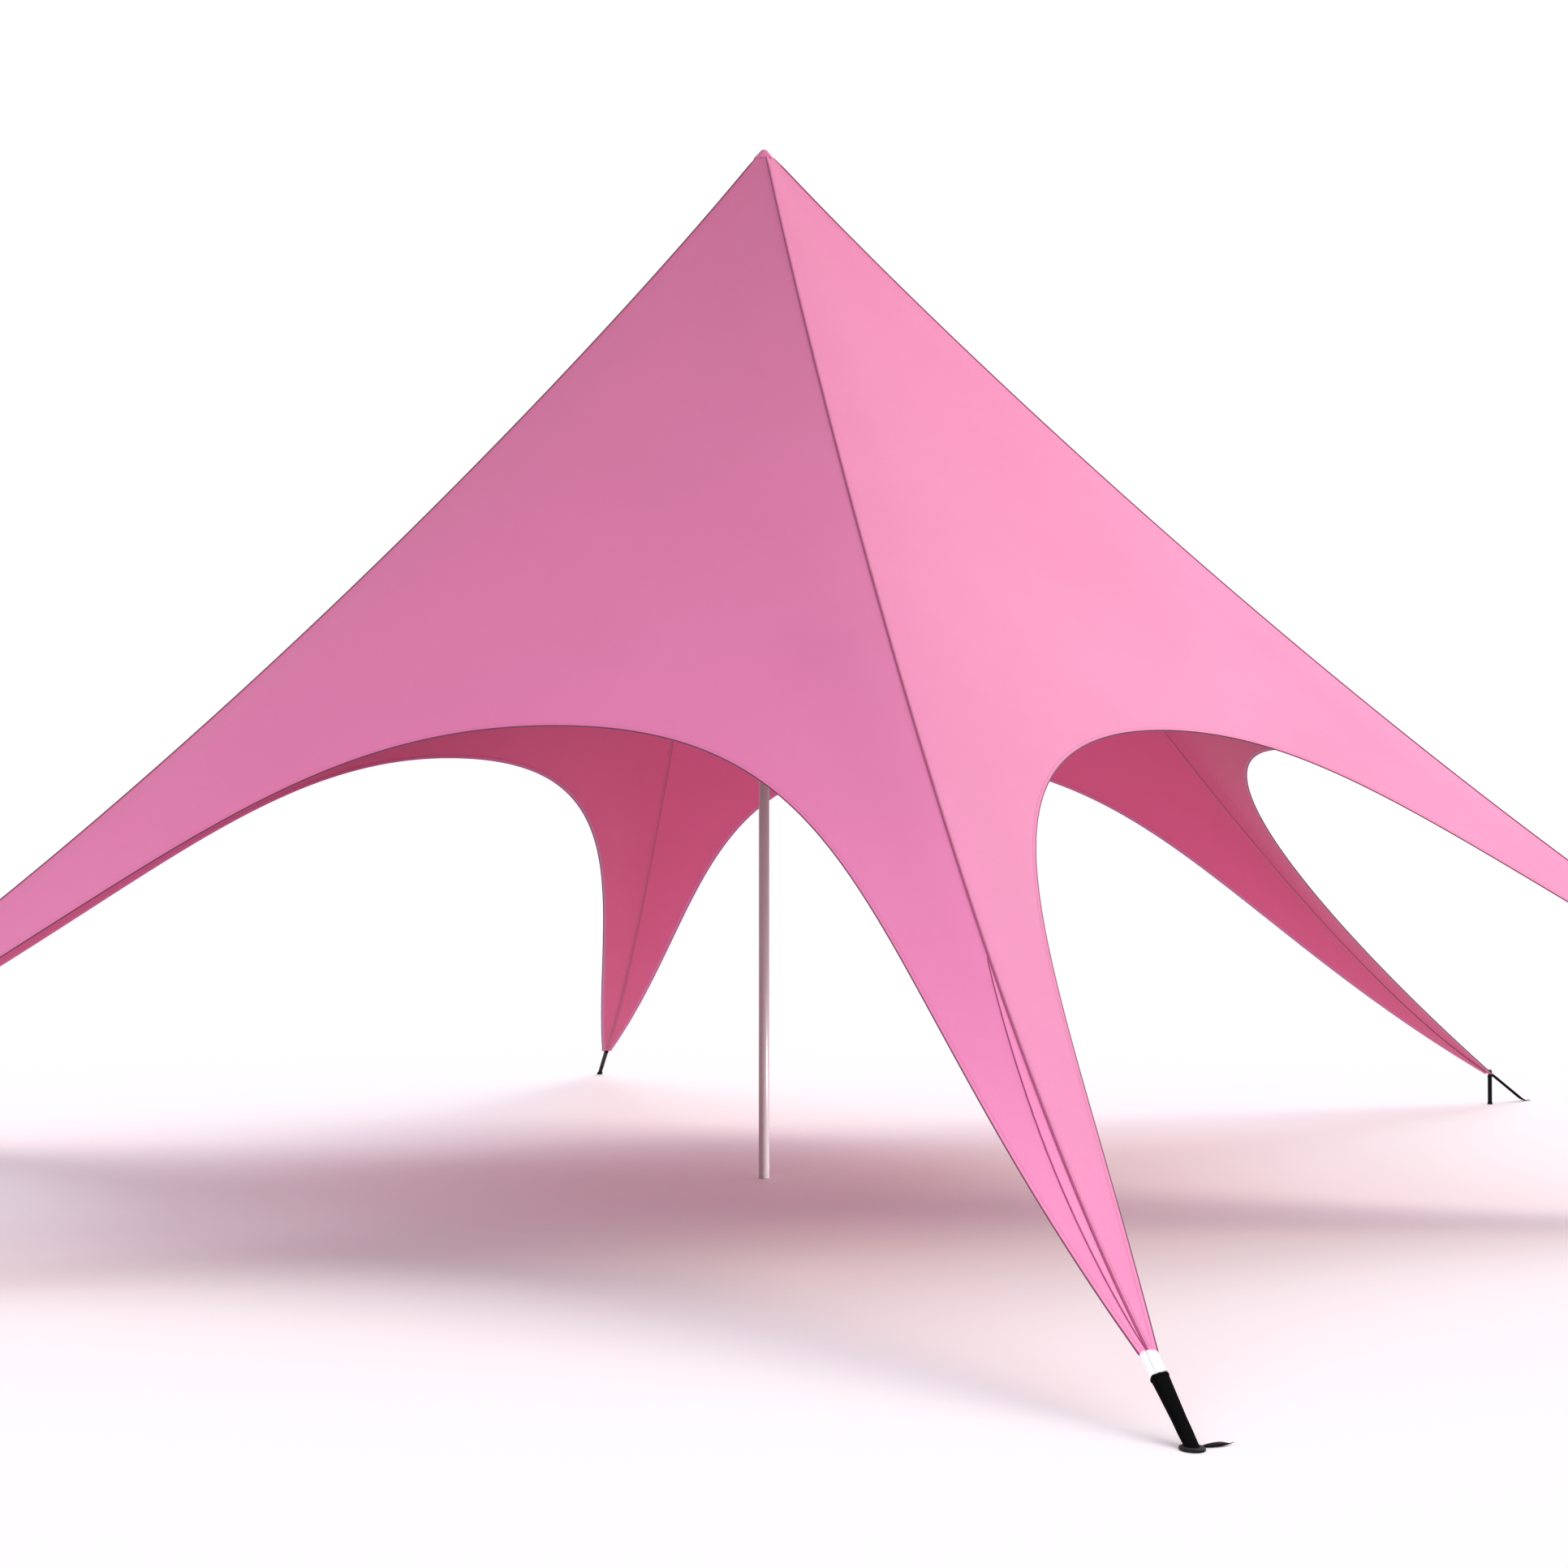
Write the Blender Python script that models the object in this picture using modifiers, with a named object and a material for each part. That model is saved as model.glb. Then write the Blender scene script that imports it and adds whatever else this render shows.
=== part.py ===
"""Single peak star tent.

Six stretched fabric arms run from one peak down to black legs that stand on
the ground, and one tube mast at the centre holds the peak up.
Units are metres and +Z is up. The mast stands at the origin and arm 1 points
along -Y; the other arms follow every 60 degrees, turning toward +X.
"""
import math

import bmesh
import bpy
import numpy as np
from mathutils import Matrix, Vector

# Overall sizes
ARM_COUNT = 6
PEAK_HEIGHT = 4.5
TIP_RADIUS = 5.305
TIP_HEIGHT = 0.172
FOOT_RADIUS = 5.6475
GAP = 0.0003

# Ridge line from the peak to an arm's tip: a cubic curve with a steep top and a flatter tip
RIDGE_TOP_SLOPE = math.radians(47.7)
RIDGE_TIP_SLOPE = math.radians(23.9)
RIDGE_TOP_HANDLE = 1.082
RIDGE_TIP_HANDLE = 1.696

# Free edge between two arms: a cubic curve from the tip up to the top of the arch
ARCH_RADIUS = 2.35
ARCH_HEIGHT = 1.88
EDGE_TIP_ANGLE = math.radians(8.9)
EDGE_TIP_RISE = 0.47
EDGE_TIP_HANDLE = 1.91
EDGE_TOP_HANDLE = 1.215

# Cloth
CLOTH_THICKNESS = 0.003
ARM_END_HALF_WIDTH = 0.025
SEAM_HALF_GAP = 0.0025
SEAM_WELT_RADIUS = 0.004
SEAM_END_SETBACK = 0.006
CLOTH_ROWS = 15
CLOTH_COLUMNS = 18
RELAX_ROUNDS = 6

# Peak cap and mast
CAP_APOTHEM = 0.040
CAP_TOP_RADIUS = 0.013
CAP_TOP_HEIGHT = 4.498
CAP_RIM_INSET = 0.0035
CAP_RIM_DROP = 0.002
MAST_RADIUS = 0.023

# Legs, collars and feet
COLLAR_LENGTH = 0.094
COLLAR_HALF_WIDTH = 0.026
COLLAR_HALF_DEPTH = 0.015
LEG_TOP_HALF_WIDTH = 0.0245
LEG_TOP_HALF_DEPTH = 0.013
LEG_FOOT_HALF_WIDTH = 0.018
LEG_FOOT_HALF_DEPTH = 0.011
PLATE_THICKNESS = 0.008
PLATE_HALF_LENGTH = 0.042
PLATE_HALF_WIDTH = 0.032
SPIKE_LENGTH = 0.098
SPIKE_BASE_RADIUS = 0.006
SPIKE_POINT_RADIUS = 0.001
SPIKE_SWEEP = math.radians(18)
SLIM_LEG_RADIUS = 0.0115
SLIM_FOOT_RADIUS = 0.017
SLIM_FOOT_HEIGHT = 0.012
PROP_RADIUS = 0.0118
PROP_HEIGHT = 0.192
STRAP_HALF_WIDTH = 0.015
STRAP_THICKNESS = 0.003
STRAP_TOP_HEIGHT = 0.166
TAIL_LENGTH = 0.045

# Which kind of leg stands at each arm
COLLARED_ARMS = (1, 2, 5, 6)
SLIM_LEG_ARM = 4
PROPPED_ARM = 3

# Surface colours and finishes: colour, roughness, metallic
PINK_CLOTH = ((0.85, 0.24, 0.44), 0.62, 0.0)
SEAM_THREAD = ((0.74, 0.17, 0.35), 0.6, 0.0)
MAST_PAINT = ((0.80, 0.80, 0.82), 0.35, 0.4)
COLLAR_WHITE = ((0.86, 0.87, 0.89), 0.4, 0.0)
LEG_BLACK = ((0.012, 0.012, 0.013), 0.55, 0.0)
PLATE_BLACK = ((0.02, 0.018, 0.018), 0.5, 0.0)
STRAP_BLACK = ((0.015, 0.015, 0.016), 0.75, 0.0)


def clear_scene():
    for item in list(bpy.data.objects):
        bpy.data.objects.remove(item, do_unlink=True)


def make_collection(name):
    collection = bpy.data.collections.new(name)
    bpy.context.scene.collection.children.link(collection)
    return collection


def make_material(name, look):
    colour, roughness, metallic = look
    material = bpy.data.materials.new(name)
    material.use_nodes = True
    shader = material.node_tree.nodes["Principled BSDF"]
    shader.inputs["Base Color"].default_value = (*colour, 1.0)
    shader.inputs["Roughness"].default_value = roughness
    shader.inputs["Metallic"].default_value = metallic
    return material


def add_mesh_object(name, points, faces, look, collection):
    """Make one named object from points and faces, with its faces turned outward."""
    mesh = bpy.data.meshes.new(name)
    mesh.from_pydata([tuple(point) for point in points], [], faces)
    shell = bmesh.new()
    shell.from_mesh(mesh)
    bmesh.ops.recalc_face_normals(shell, faces=shell.faces)
    shell.to_mesh(mesh)
    shell.free()
    item = bpy.data.objects.new(name, mesh)
    mesh.materials.append(make_material(name, look))
    collection.objects.link(item)
    return item


def arm_angle(arm):
    """Azimuth of an arm, from -Y toward +X."""
    return math.radians(360.0 / ARM_COUNT * (arm - 1))


def outward(angle):
    return np.array([math.sin(angle), -math.cos(angle), 0.0])


def sideways(angle):
    return np.array([math.cos(angle), math.sin(angle), 0.0])


def cubic(start, start_handle, end_handle, end, share):
    """Point on a cubic curve, for one share or a whole array of them."""
    share = np.asarray(share, dtype=float)[..., None]
    rest = 1.0 - share
    return (rest ** 3 * start + 3 * rest ** 2 * share * start_handle
            + 3 * rest * share ** 2 * end_handle + share ** 3 * end)


def ridge_height(radius):
    """Height of the ridge line at a distance from the mast."""
    top = np.array([0.0, PEAK_HEIGHT])
    tip = np.array([TIP_RADIUS, TIP_HEIGHT])
    top_handle = top + RIDGE_TOP_HANDLE * np.array([1.0, -math.tan(RIDGE_TOP_SLOPE)])
    tip_handle = tip - RIDGE_TIP_HANDLE * np.array([1.0, -math.tan(RIDGE_TIP_SLOPE)])
    line = cubic(top, top_handle, tip_handle, tip, np.linspace(0.0, 1.0, 400))
    return np.interp(radius, line[:, 0], line[:, 1])


def half_edge(share, angle, side):
    """Free edge from an arm's tip (share 0) to the top of the arch (share 1)."""
    start = np.array([TIP_RADIUS, ARM_END_HALF_WIDTH, TIP_HEIGHT])
    lean = np.array([-math.cos(EDGE_TIP_ANGLE), math.sin(EDGE_TIP_ANGLE), EDGE_TIP_RISE])
    half_sector = math.pi / ARM_COUNT
    top = np.array([ARCH_RADIUS * math.cos(half_sector), ARCH_RADIUS * math.sin(half_sector),
                    ARCH_HEIGHT])
    level = np.array([math.sin(half_sector), -math.cos(half_sector), 0.0])
    local = cubic(start, start + EDGE_TIP_HANDLE * lean, top + EDGE_TOP_HANDLE * level, top, share)
    frame = np.array([outward(angle), side * sideways(angle), [0.0, 0.0, 1.0]])
    return local @ frame


def cloth_edge(arm, columns):
    """Bottom edge of the panel between an arm and the next, end corners included."""
    here = arm_angle(arm)
    there = arm_angle(arm + 1)
    half = (columns - 2) // 2
    rising = half_edge(np.linspace(0.0, 1.0, half + 1), here, 1.0)
    falling = half_edge(np.linspace(1.0, 0.0, half + 1)[1:], there, -1.0)
    first = outward(here) * TIP_RADIUS + sideways(here) * SEAM_HALF_GAP
    last = outward(there) * TIP_RADIUS - sideways(there) * SEAM_HALF_GAP
    first[2] = TIP_HEIGHT
    last[2] = TIP_HEIGHT
    return np.vstack([first, rising, falling, last])


def cloth_grid(arm, rows, columns):
    """Panel points: rows run from the peak cap to the free edge, columns from arm to arm."""
    middle = arm_angle(arm) + math.pi / ARM_COUNT
    fan = outward(middle) * SEAM_HALF_GAP / math.sin(math.pi / ARM_COUNT)
    edge = cloth_edge(arm, columns)
    reach = (edge - fan) @ outward(middle)
    start = (CAP_APOTHEM + GAP - fan @ outward(middle)) / reach
    share = start + (1.0 - start) * np.linspace(0.0, 1.0, rows + 1)[:, None]
    grid = fan + share[..., None] * (edge - fan)
    along_first = grid[:, 0] @ outward(arm_angle(arm))
    heights = ridge_height(along_first)
    grid[..., 2] = heights[:, None]
    blend = np.linspace(0.0, 1.0, rows + 1)[:, None]
    grid[..., 2] += blend * (edge[:, 2] - heights[-1])
    return grid


def cell_corners(rows, columns):
    """Corner numbers of every cell in a grid of points."""
    row, column = np.meshgrid(np.arange(rows), np.arange(columns), indexing="ij")
    first = (row * (columns + 1) + column).ravel()
    return first, first + 1, first + columns + 2, first + columns + 1


def triangle_list(rows, columns):
    """Both ways of halving each cell, so that the relaxed cloth favours neither diagonal."""
    a, b, c, d = cell_corners(rows, columns)
    halves = [(a, b, c), (a, c, d), (a, b, d), (b, c, d)]
    return np.vstack([np.column_stack(half) for half in halves])


def relax_heights(grid, rounds):
    """Move the inner points up or down until the stretched cloth has the least area."""
    rows, columns = grid.shape[0] - 1, grid.shape[1] - 1
    points = grid.reshape(-1, 3)
    triangles = triangle_list(rows, columns)
    fixed = np.ones(grid.shape[:2], dtype=bool)
    fixed[1:-1, 1:-1] = False
    fixed = fixed.ravel()
    for _ in range(rounds):
        matrix = np.zeros((len(points), len(points)))
        for corner in range(3):
            i = triangles[:, (corner + 1) % 3]
            j = triangles[:, (corner + 2) % 3]
            to_i = points[i] - points[triangles[:, corner]]
            to_j = points[j] - points[triangles[:, corner]]
            area = np.linalg.norm(np.cross(to_i, to_j), axis=1)
            weight = np.sum(to_i * to_j, axis=1) / np.maximum(area, 1e-9)
            np.add.at(matrix, (i, j), -weight)
            np.add.at(matrix, (j, i), -weight)
            np.add.at(matrix, (i, i), weight)
            np.add.at(matrix, (j, j), weight)
        inner = ~fixed
        pull = -matrix[np.ix_(inner, fixed)] @ points[fixed, 2]
        points[inner, 2] = np.linalg.solve(matrix[np.ix_(inner, inner)], pull)
    return points.reshape(grid.shape)


def build_canopy_panel(arm, collection):
    """One stretched panel between two ridges, from the cap down to its arched free edge."""
    grid = relax_heights(cloth_grid(arm, CLOTH_ROWS, CLOTH_COLUMNS), RELAX_ROUNDS)
    corners = np.column_stack(cell_corners(CLOTH_ROWS, CLOTH_COLUMNS))
    mesh = bpy.data.meshes.new(f"canopy_panel_{arm}")
    mesh.from_pydata(grid.reshape(-1, 3).tolist(), [], corners.tolist())
    shell = bmesh.new()
    shell.from_mesh(mesh)
    bmesh.ops.triangulate(shell, faces=shell.faces)
    bmesh.ops.recalc_face_normals(shell, faces=shell.faces)
    if sum(face.normal.z * face.calc_area() for face in shell.faces) < 0.0:
        bmesh.ops.reverse_faces(shell, faces=shell.faces)
    shell.to_mesh(mesh)
    shell.free()
    mesh.shade_smooth()
    panel = bpy.data.objects.new(f"canopy_panel_{arm}", mesh)
    mesh.materials.append(make_material(f"canopy_panel_{arm}", PINK_CLOTH))
    collection.objects.link(panel)
    thickness = panel.modifiers.new("cloth thickness", "SOLIDIFY")
    thickness.thickness = CLOTH_THICKNESS
    thickness.offset = -1.0
    return panel


def build_ridge_seam(arm, collection):
    """The raised welt that closes the joint between two panels along an arm's ridge."""
    ray = outward(arm_angle(arm))
    fan_reach = SEAM_HALF_GAP / math.tan(math.pi / ARM_COUNT)
    first = (CAP_APOTHEM + GAP) / math.cos(math.pi / ARM_COUNT) + 0.002
    stations = fan_reach + (TIP_RADIUS - fan_reach) * np.linspace(0.0, 1.0, CLOTH_ROWS + 1)
    radii = np.concatenate([[first], stations[1:-1], [TIP_RADIUS - SEAM_END_SETBACK]])
    lift = math.sqrt((SEAM_WELT_RADIUS + 0.0004) ** 2 - SEAM_HALF_GAP ** 2)
    curve = bpy.data.curves.new(f"ridge_seam_{arm}", "CURVE")
    curve.dimensions = "3D"
    curve.bevel_depth = SEAM_WELT_RADIUS
    curve.bevel_resolution = 2
    curve.use_fill_caps = True
    line = curve.splines.new("POLY")
    line.points.add(len(radii) - 1)
    for number, radius in enumerate(radii):
        slope = (ridge_height(radius - 0.01) - ridge_height(radius + 0.01)) / 0.02
        tilt = math.atan(slope)
        spot = ray * (radius + lift * math.sin(tilt))
        height = ridge_height(radius) + lift * math.cos(tilt)
        line.points[number].co = (spot[0], spot[1], height, 1.0)
    welt = bpy.data.objects.new(f"ridge_seam_{arm}", curve)
    curve.materials.append(make_material(f"ridge_seam_{arm}", SEAM_THREAD))
    collection.objects.link(welt)
    return welt


def cap_rim_height():
    """Height of the line along which the panels start at the cap."""
    half_sector = math.pi / ARM_COUNT
    border = (CAP_APOTHEM + GAP - SEAM_HALF_GAP * math.sin(half_sector)) / math.cos(half_sector)
    return float(ridge_height(border))


def build_peak_cap(collection):
    """Six-sided fabric cap that closes the peak, with a small flat top over the mast."""
    corner_ratio = 1.0 / math.cos(math.pi / ARM_COUNT)
    rim_height = cap_rim_height()
    underside = rim_height - CAP_RIM_DROP
    rings = [(CAP_TOP_RADIUS, CAP_TOP_HEIGHT),
             (CAP_APOTHEM * corner_ratio, rim_height),
             ((CAP_APOTHEM - CAP_RIM_INSET) * corner_ratio, underside)]
    points = []
    for radius, height in rings:
        for arm in range(1, ARM_COUNT + 1):
            spot = outward(arm_angle(arm)) * radius
            points.append((spot[0], spot[1], height))
    faces = [tuple(range(ARM_COUNT)), tuple(range(2 * ARM_COUNT, 3 * ARM_COUNT))]
    for ring in range(2):
        for side in range(ARM_COUNT):
            here = ring * ARM_COUNT + side
            there = ring * ARM_COUNT + (side + 1) % ARM_COUNT
            faces.append((here, there, there + ARM_COUNT, here + ARM_COUNT))
    add_mesh_object("peak_cap", points, faces, PINK_CLOTH, collection)
    return underside


def add_cylinder(name, radius, bottom, top, look, collection, spot=(0.0, 0.0), sides=32):
    bpy.ops.mesh.primitive_cylinder_add(vertices=sides, radius=radius, depth=top - bottom,
                                        location=(spot[0], spot[1], (top + bottom) / 2))
    item = bpy.context.active_object
    item.name = name
    item.data.name = name
    item.data.materials.append(make_material(name, look))
    for owner in list(item.users_collection):
        owner.objects.unlink(item)
    collection.objects.link(item)
    return item


def add_edge_bevel(item, width):
    bevel = item.modifiers.new("edge bevel", "BEVEL")
    bevel.width = width
    bevel.segments = 2
    bevel.limit_method = "ANGLE"
    bevel.angle_limit = math.radians(40)


def build_mast(top, collection):
    """The one tube mast, from the ground to the underside of the cap."""
    add_cylinder("mast", MAST_RADIUS, 0.0, top - GAP, MAST_PAINT, collection)


def leg_direction():
    run = FOOT_RADIUS - TIP_RADIUS
    length = math.hypot(run, TIP_HEIGHT)
    return run / length, -TIP_HEIGHT / length


def leg_ring(distance, half_width, half_depth, level_share, sides=24):
    """Oval ring across the leg line; level_share 1 lays it flat, as where it meets the ground."""
    along, down = leg_direction()
    tilt = math.asin(-down)
    centre = np.array([TIP_RADIUS + along * distance, 0.0, TIP_HEIGHT + down * distance])
    square = np.array([-down, 0.0, along])
    flat = np.array([1.0, 0.0, 0.0]) / math.sin(tilt)
    depth_axis = square * (1.0 - level_share) + flat * level_share
    turn = np.linspace(0.0, 2 * math.pi, sides, endpoint=False)[:, None]
    side_axis = np.array([0.0, 1.0, 0.0])
    return centre + half_width * np.cos(turn) * side_axis + half_depth * np.sin(turn) * depth_axis


def loft_rings(name, rings, arm, look, collection):
    """Join oval rings into one closed solid and turn it to its arm."""
    sides = len(rings[0])
    frame = np.array([outward(arm_angle(arm)), sideways(arm_angle(arm)), [0.0, 0.0, 1.0]])
    points = np.vstack(rings) @ frame
    faces = [tuple(range(sides)), tuple(range((len(rings) - 1) * sides, len(rings) * sides))]
    for ring in range(len(rings) - 1):
        for side in range(sides):
            here = ring * sides + side
            there = ring * sides + (side + 1) % sides
            faces.append((here, there, there + sides, here + sides))
    item = add_mesh_object(name, points, faces, look, collection)
    item.data.shade_smooth()
    item.data.set_sharp_from_angle(angle=math.radians(40))
    return item


def build_arm_collar(arm, collection):
    """White sleeve between the cloth's end and the black leg."""
    rings = [leg_ring(distance, COLLAR_HALF_WIDTH, COLLAR_HALF_DEPTH, 0.0)
             for distance in (0.0006, COLLAR_LENGTH)]
    loft_rings(f"arm_collar_{arm}", rings, arm, COLLAR_WHITE, collection)


def ground_distance(height):
    """Distance along the leg line at which it comes down to a height."""
    return (TIP_HEIGHT - height) / -leg_direction()[1]


def build_tapered_leg(arm, collection):
    """Black leg in line with the arm, wide under the collar and narrow at its foot plate."""
    foot = ground_distance(PLATE_THICKNESS + GAP)
    rings = [leg_ring(COLLAR_LENGTH + GAP, LEG_TOP_HALF_WIDTH, LEG_TOP_HALF_DEPTH, 0.0),
             leg_ring(foot - 0.05, LEG_FOOT_HALF_WIDTH + 0.0015, LEG_FOOT_HALF_DEPTH, 0.0),
             leg_ring(foot, LEG_FOOT_HALF_WIDTH, LEG_FOOT_HALF_DEPTH, 1.0)]
    loft_rings(f"tapered_leg_{arm}", rings, arm, LEG_BLACK, collection)


def plate_centre(arm):
    along, _ = leg_direction()
    foot = TIP_RADIUS + along * ground_distance(PLATE_THICKNESS + GAP)
    return outward(arm_angle(arm)) * (foot + 0.005)


def build_foot_plate(arm, collection):
    """Small oval plate under a tapered leg."""
    spot = plate_centre(arm)
    plate = add_cylinder(f"foot_plate_{arm}", 1.0, -0.5, 0.5, PLATE_BLACK, collection, sides=28)
    plate.data.transform(Matrix.Diagonal((PLATE_HALF_LENGTH, PLATE_HALF_WIDTH, PLATE_THICKNESS, 1.0)))
    plate.location = (spot[0], spot[1], PLATE_THICKNESS / 2)
    plate.rotation_euler = (0.0, 0.0, arm_angle(arm) - math.pi / 2)
    add_edge_bevel(plate, 0.0015)


def build_ground_spike(arm, collection):
    """Tapered spike that lies on the ground beside a foot plate."""
    angle = arm_angle(arm)
    heading = math.cos(SPIKE_SWEEP) * sideways(angle) - math.sin(SPIKE_SWEEP) * outward(angle)
    slope = math.atan2(math.sin(SPIKE_SWEEP) * PLATE_HALF_LENGTH, math.cos(SPIKE_SWEEP) * PLATE_HALF_WIDTH)
    rim = (math.cos(slope) * PLATE_HALF_WIDTH * sideways(angle)
           - math.sin(slope) * PLATE_HALF_LENGTH * outward(angle))
    start = plate_centre(arm) + rim + heading * GAP
    middle = start + heading * SPIKE_LENGTH / 2
    bpy.ops.mesh.primitive_cone_add(vertices=16, radius1=SPIKE_BASE_RADIUS, radius2=SPIKE_POINT_RADIUS,
                                    depth=SPIKE_LENGTH, location=(middle[0], middle[1], SPIKE_BASE_RADIUS))
    spike = bpy.context.active_object
    spike.name = f"ground_spike_{arm}"
    spike.data.name = spike.name
    spike.rotation_euler = Vector(heading).to_track_quat("Z", "Y").to_euler()
    spike.data.materials.append(make_material(spike.name, PLATE_BLACK))
    for owner in list(spike.users_collection):
        owner.objects.unlink(spike)
    collection.objects.link(spike)


def build_slim_leg(arm, collection):
    """Slim black leg with a small flared foot."""
    end = ground_distance(0.0)
    flare = ground_distance(SLIM_FOOT_HEIGHT)
    neck = ground_distance(SLIM_FOOT_HEIGHT + 0.012)
    rings = [leg_ring(0.0006, SLIM_LEG_RADIUS, SLIM_LEG_RADIUS, 0.0),
             leg_ring(neck - 0.06, SLIM_LEG_RADIUS, SLIM_LEG_RADIUS, 0.0),
             leg_ring(neck, SLIM_LEG_RADIUS, SLIM_LEG_RADIUS * 0.8, 1.0),
             leg_ring(flare, SLIM_FOOT_RADIUS * 0.92, SLIM_FOOT_RADIUS * 0.62, 1.0),
             leg_ring(end, SLIM_FOOT_RADIUS, SLIM_FOOT_RADIUS * 0.66, 1.0)]
    loft_rings(f"slim_leg_{arm}", rings, arm, LEG_BLACK, collection)


def build_upright_prop(arm, collection):
    """Short upright prop under the arm that has a stay strap."""
    spot = outward(arm_angle(arm)) * (TIP_RADIUS + GAP + PROP_RADIUS)
    prop = add_cylinder(f"upright_prop_{arm}", PROP_RADIUS, 0.0, PROP_HEIGHT, LEG_BLACK,
                        collection, spot=(spot[0], spot[1]), sides=24)
    add_edge_bevel(prop, 0.0015)


def strap_section(radius, height, half_width, thickness, tilt):
    """Four corners of the strap where its underside passes a point."""
    up = np.array([math.sin(tilt), 0.0, math.cos(tilt)]) * thickness
    under = np.array([radius, 0.0, height])
    across = np.array([0.0, half_width, 0.0])
    return np.array([under - across, under + across, under + across + up, under - across + up])


def build_stay_strap(arm, collection):
    """Flat strap from the head of the upright prop to the ground, with a pointed tail."""
    start = TIP_RADIUS + 2 * GAP + 2 * PROP_RADIUS
    end = FOOT_RADIUS - 0.012
    slope = math.atan2(STRAP_TOP_HEIGHT - 0.001, end - start)
    rings = [strap_section(start, STRAP_TOP_HEIGHT, STRAP_HALF_WIDTH, STRAP_THICKNESS, 0.0),
             strap_section(start + 0.02, STRAP_TOP_HEIGHT - 0.02 * math.tan(slope),
                           STRAP_HALF_WIDTH, STRAP_THICKNESS, slope),
             strap_section(end - 0.03, 0.001 + 0.03 * math.tan(slope),
                           STRAP_HALF_WIDTH, STRAP_THICKNESS, slope),
             strap_section(end, 0.003, STRAP_HALF_WIDTH, STRAP_THICKNESS, slope * 0.6),
             strap_section(end + 0.02, 0.0, STRAP_HALF_WIDTH, STRAP_THICKNESS, 0.0)]
    loft_rings(f"stay_strap_{arm}", rings, arm, STRAP_BLACK, collection)
    tail = [strap_section(end + 0.02 + GAP, 0.0, STRAP_HALF_WIDTH, STRAP_THICKNESS, 0.0),
            strap_section(end + 0.02 + TAIL_LENGTH, 0.0, 0.002, 0.0015, 0.0)]
    loft_rings(f"strap_tail_{arm}", tail, arm, STRAP_BLACK, collection)


def build_tent():
    clear_scene()
    tent = make_collection("single_peak_tent")
    for arm in range(1, ARM_COUNT + 1):
        build_canopy_panel(arm, tent)
        build_ridge_seam(arm, tent)
    cap_underside = build_peak_cap(tent)
    build_mast(cap_underside, tent)
    for arm in COLLARED_ARMS:
        build_arm_collar(arm, tent)
        build_tapered_leg(arm, tent)
        build_foot_plate(arm, tent)
        build_ground_spike(arm, tent)
    build_slim_leg(SLIM_LEG_ARM, tent)
    build_upright_prop(PROPPED_ARM, tent)
    build_stay_strap(PROPPED_ARM, tent)


build_tent()
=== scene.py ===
"""Looks of the single peak star tent: one stretched canopy on a tube mast, six arm ends, floor and light.

Units are metres, +Z is up, the mast stands at the origin and arm 1 points along -Y.
A part is a pair of points and faces, made for arm 1 and turned to the other arms.
"""
import math

import bmesh
import bpy
import numpy as np
from mathutils import Matrix, Vector
from mathutils.bvhtree import BVHTree


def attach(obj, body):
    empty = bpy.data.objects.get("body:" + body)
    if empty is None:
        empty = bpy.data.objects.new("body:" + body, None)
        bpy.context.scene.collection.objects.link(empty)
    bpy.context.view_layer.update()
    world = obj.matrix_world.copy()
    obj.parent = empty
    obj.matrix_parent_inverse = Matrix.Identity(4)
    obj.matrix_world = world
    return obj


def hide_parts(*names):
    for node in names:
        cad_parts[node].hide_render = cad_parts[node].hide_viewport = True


# Sizes that the frame has too
ARM_COUNT = 6
ARMS = range(1, ARM_COUNT + 1)
HALF_SECTOR = math.pi / ARM_COUNT
PEAK_HEIGHT = 4.5
TIP_RADIUS = 5.305
TIP_HEIGHT = 0.172
FOOT_RADIUS = 5.6475
RIDGE_TOP_SLOPE = math.radians(47.7)
RIDGE_TIP_SLOPE = math.radians(23.9)
RIDGE_TOP_HANDLE = 1.082
RIDGE_TIP_HANDLE = 1.696
ARCH_RADIUS = 2.35
ARCH_HEIGHT = 1.88
EDGE_TIP_ANGLE = math.radians(8.9)
EDGE_TIP_RISE = 0.47
EDGE_TIP_HANDLE = 1.91
EDGE_TOP_HANDLE = 1.215
ARM_END_HALF_WIDTH = 0.025
CAP_RADIUS = 0.048
CAP_TOP_RADIUS = 0.013
CAP_TOP_HEIGHT = 4.4885
MAST_RADIUS = 0.023
MAST_TOP = 4.4505
SLEEVE_LENGTH = 0.094
PLATE_THICKNESS = 0.008
PLATE_HALF_LENGTH = 0.042
PLATE_HALF_WIDTH = 0.032
SPIKE_LENGTH = 0.098
SPIKE_ANGLE = math.radians(18.0)
SPIKE_BOW = 0.010
PROP_RADIUS = 0.0118
PROP_TOP = 0.1926
GAP = 0.0003
COLLARED_ARMS = (1, 2, 5, 6)
SLIM_LEG_ARM = 4
PROPPED_ARM = 3

# Canopy
# The cut is six panels laid head to tail: 6.35 m from peak to tips, and seven half widths of 5.3 m
CLOTH_THICKNESS = 0.002
CAP_OPENING = 0.041
CLOTH_ROWS = 72
CLOTH_HALF = 38
TIP_CELLS = 2
RELAX_ROUNDS = 6
SOLVER_STEPS = 600
RIDGE_SHARP_ANGLE = 11.0
ARM_END_START = 0.82
ARM_END_BLEND = 0.12
SWELL_SLOPE = 0.17
SWELL_END = 0.88
SWELL_FADE = 0.34

# Seams: the cord and its fold rise from under the cap
SEAM_START = 0.040
SEAM_RISE_LENGTH = 0.050
SEAM_LEAST_RISE = 0.25
CORD_LIFT = 0.0015
CORD_HALF_WIDTH = 0.0033
CORD_HALF_HEIGHT = 0.0019
SLOPE_REACH = 0.02

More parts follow.
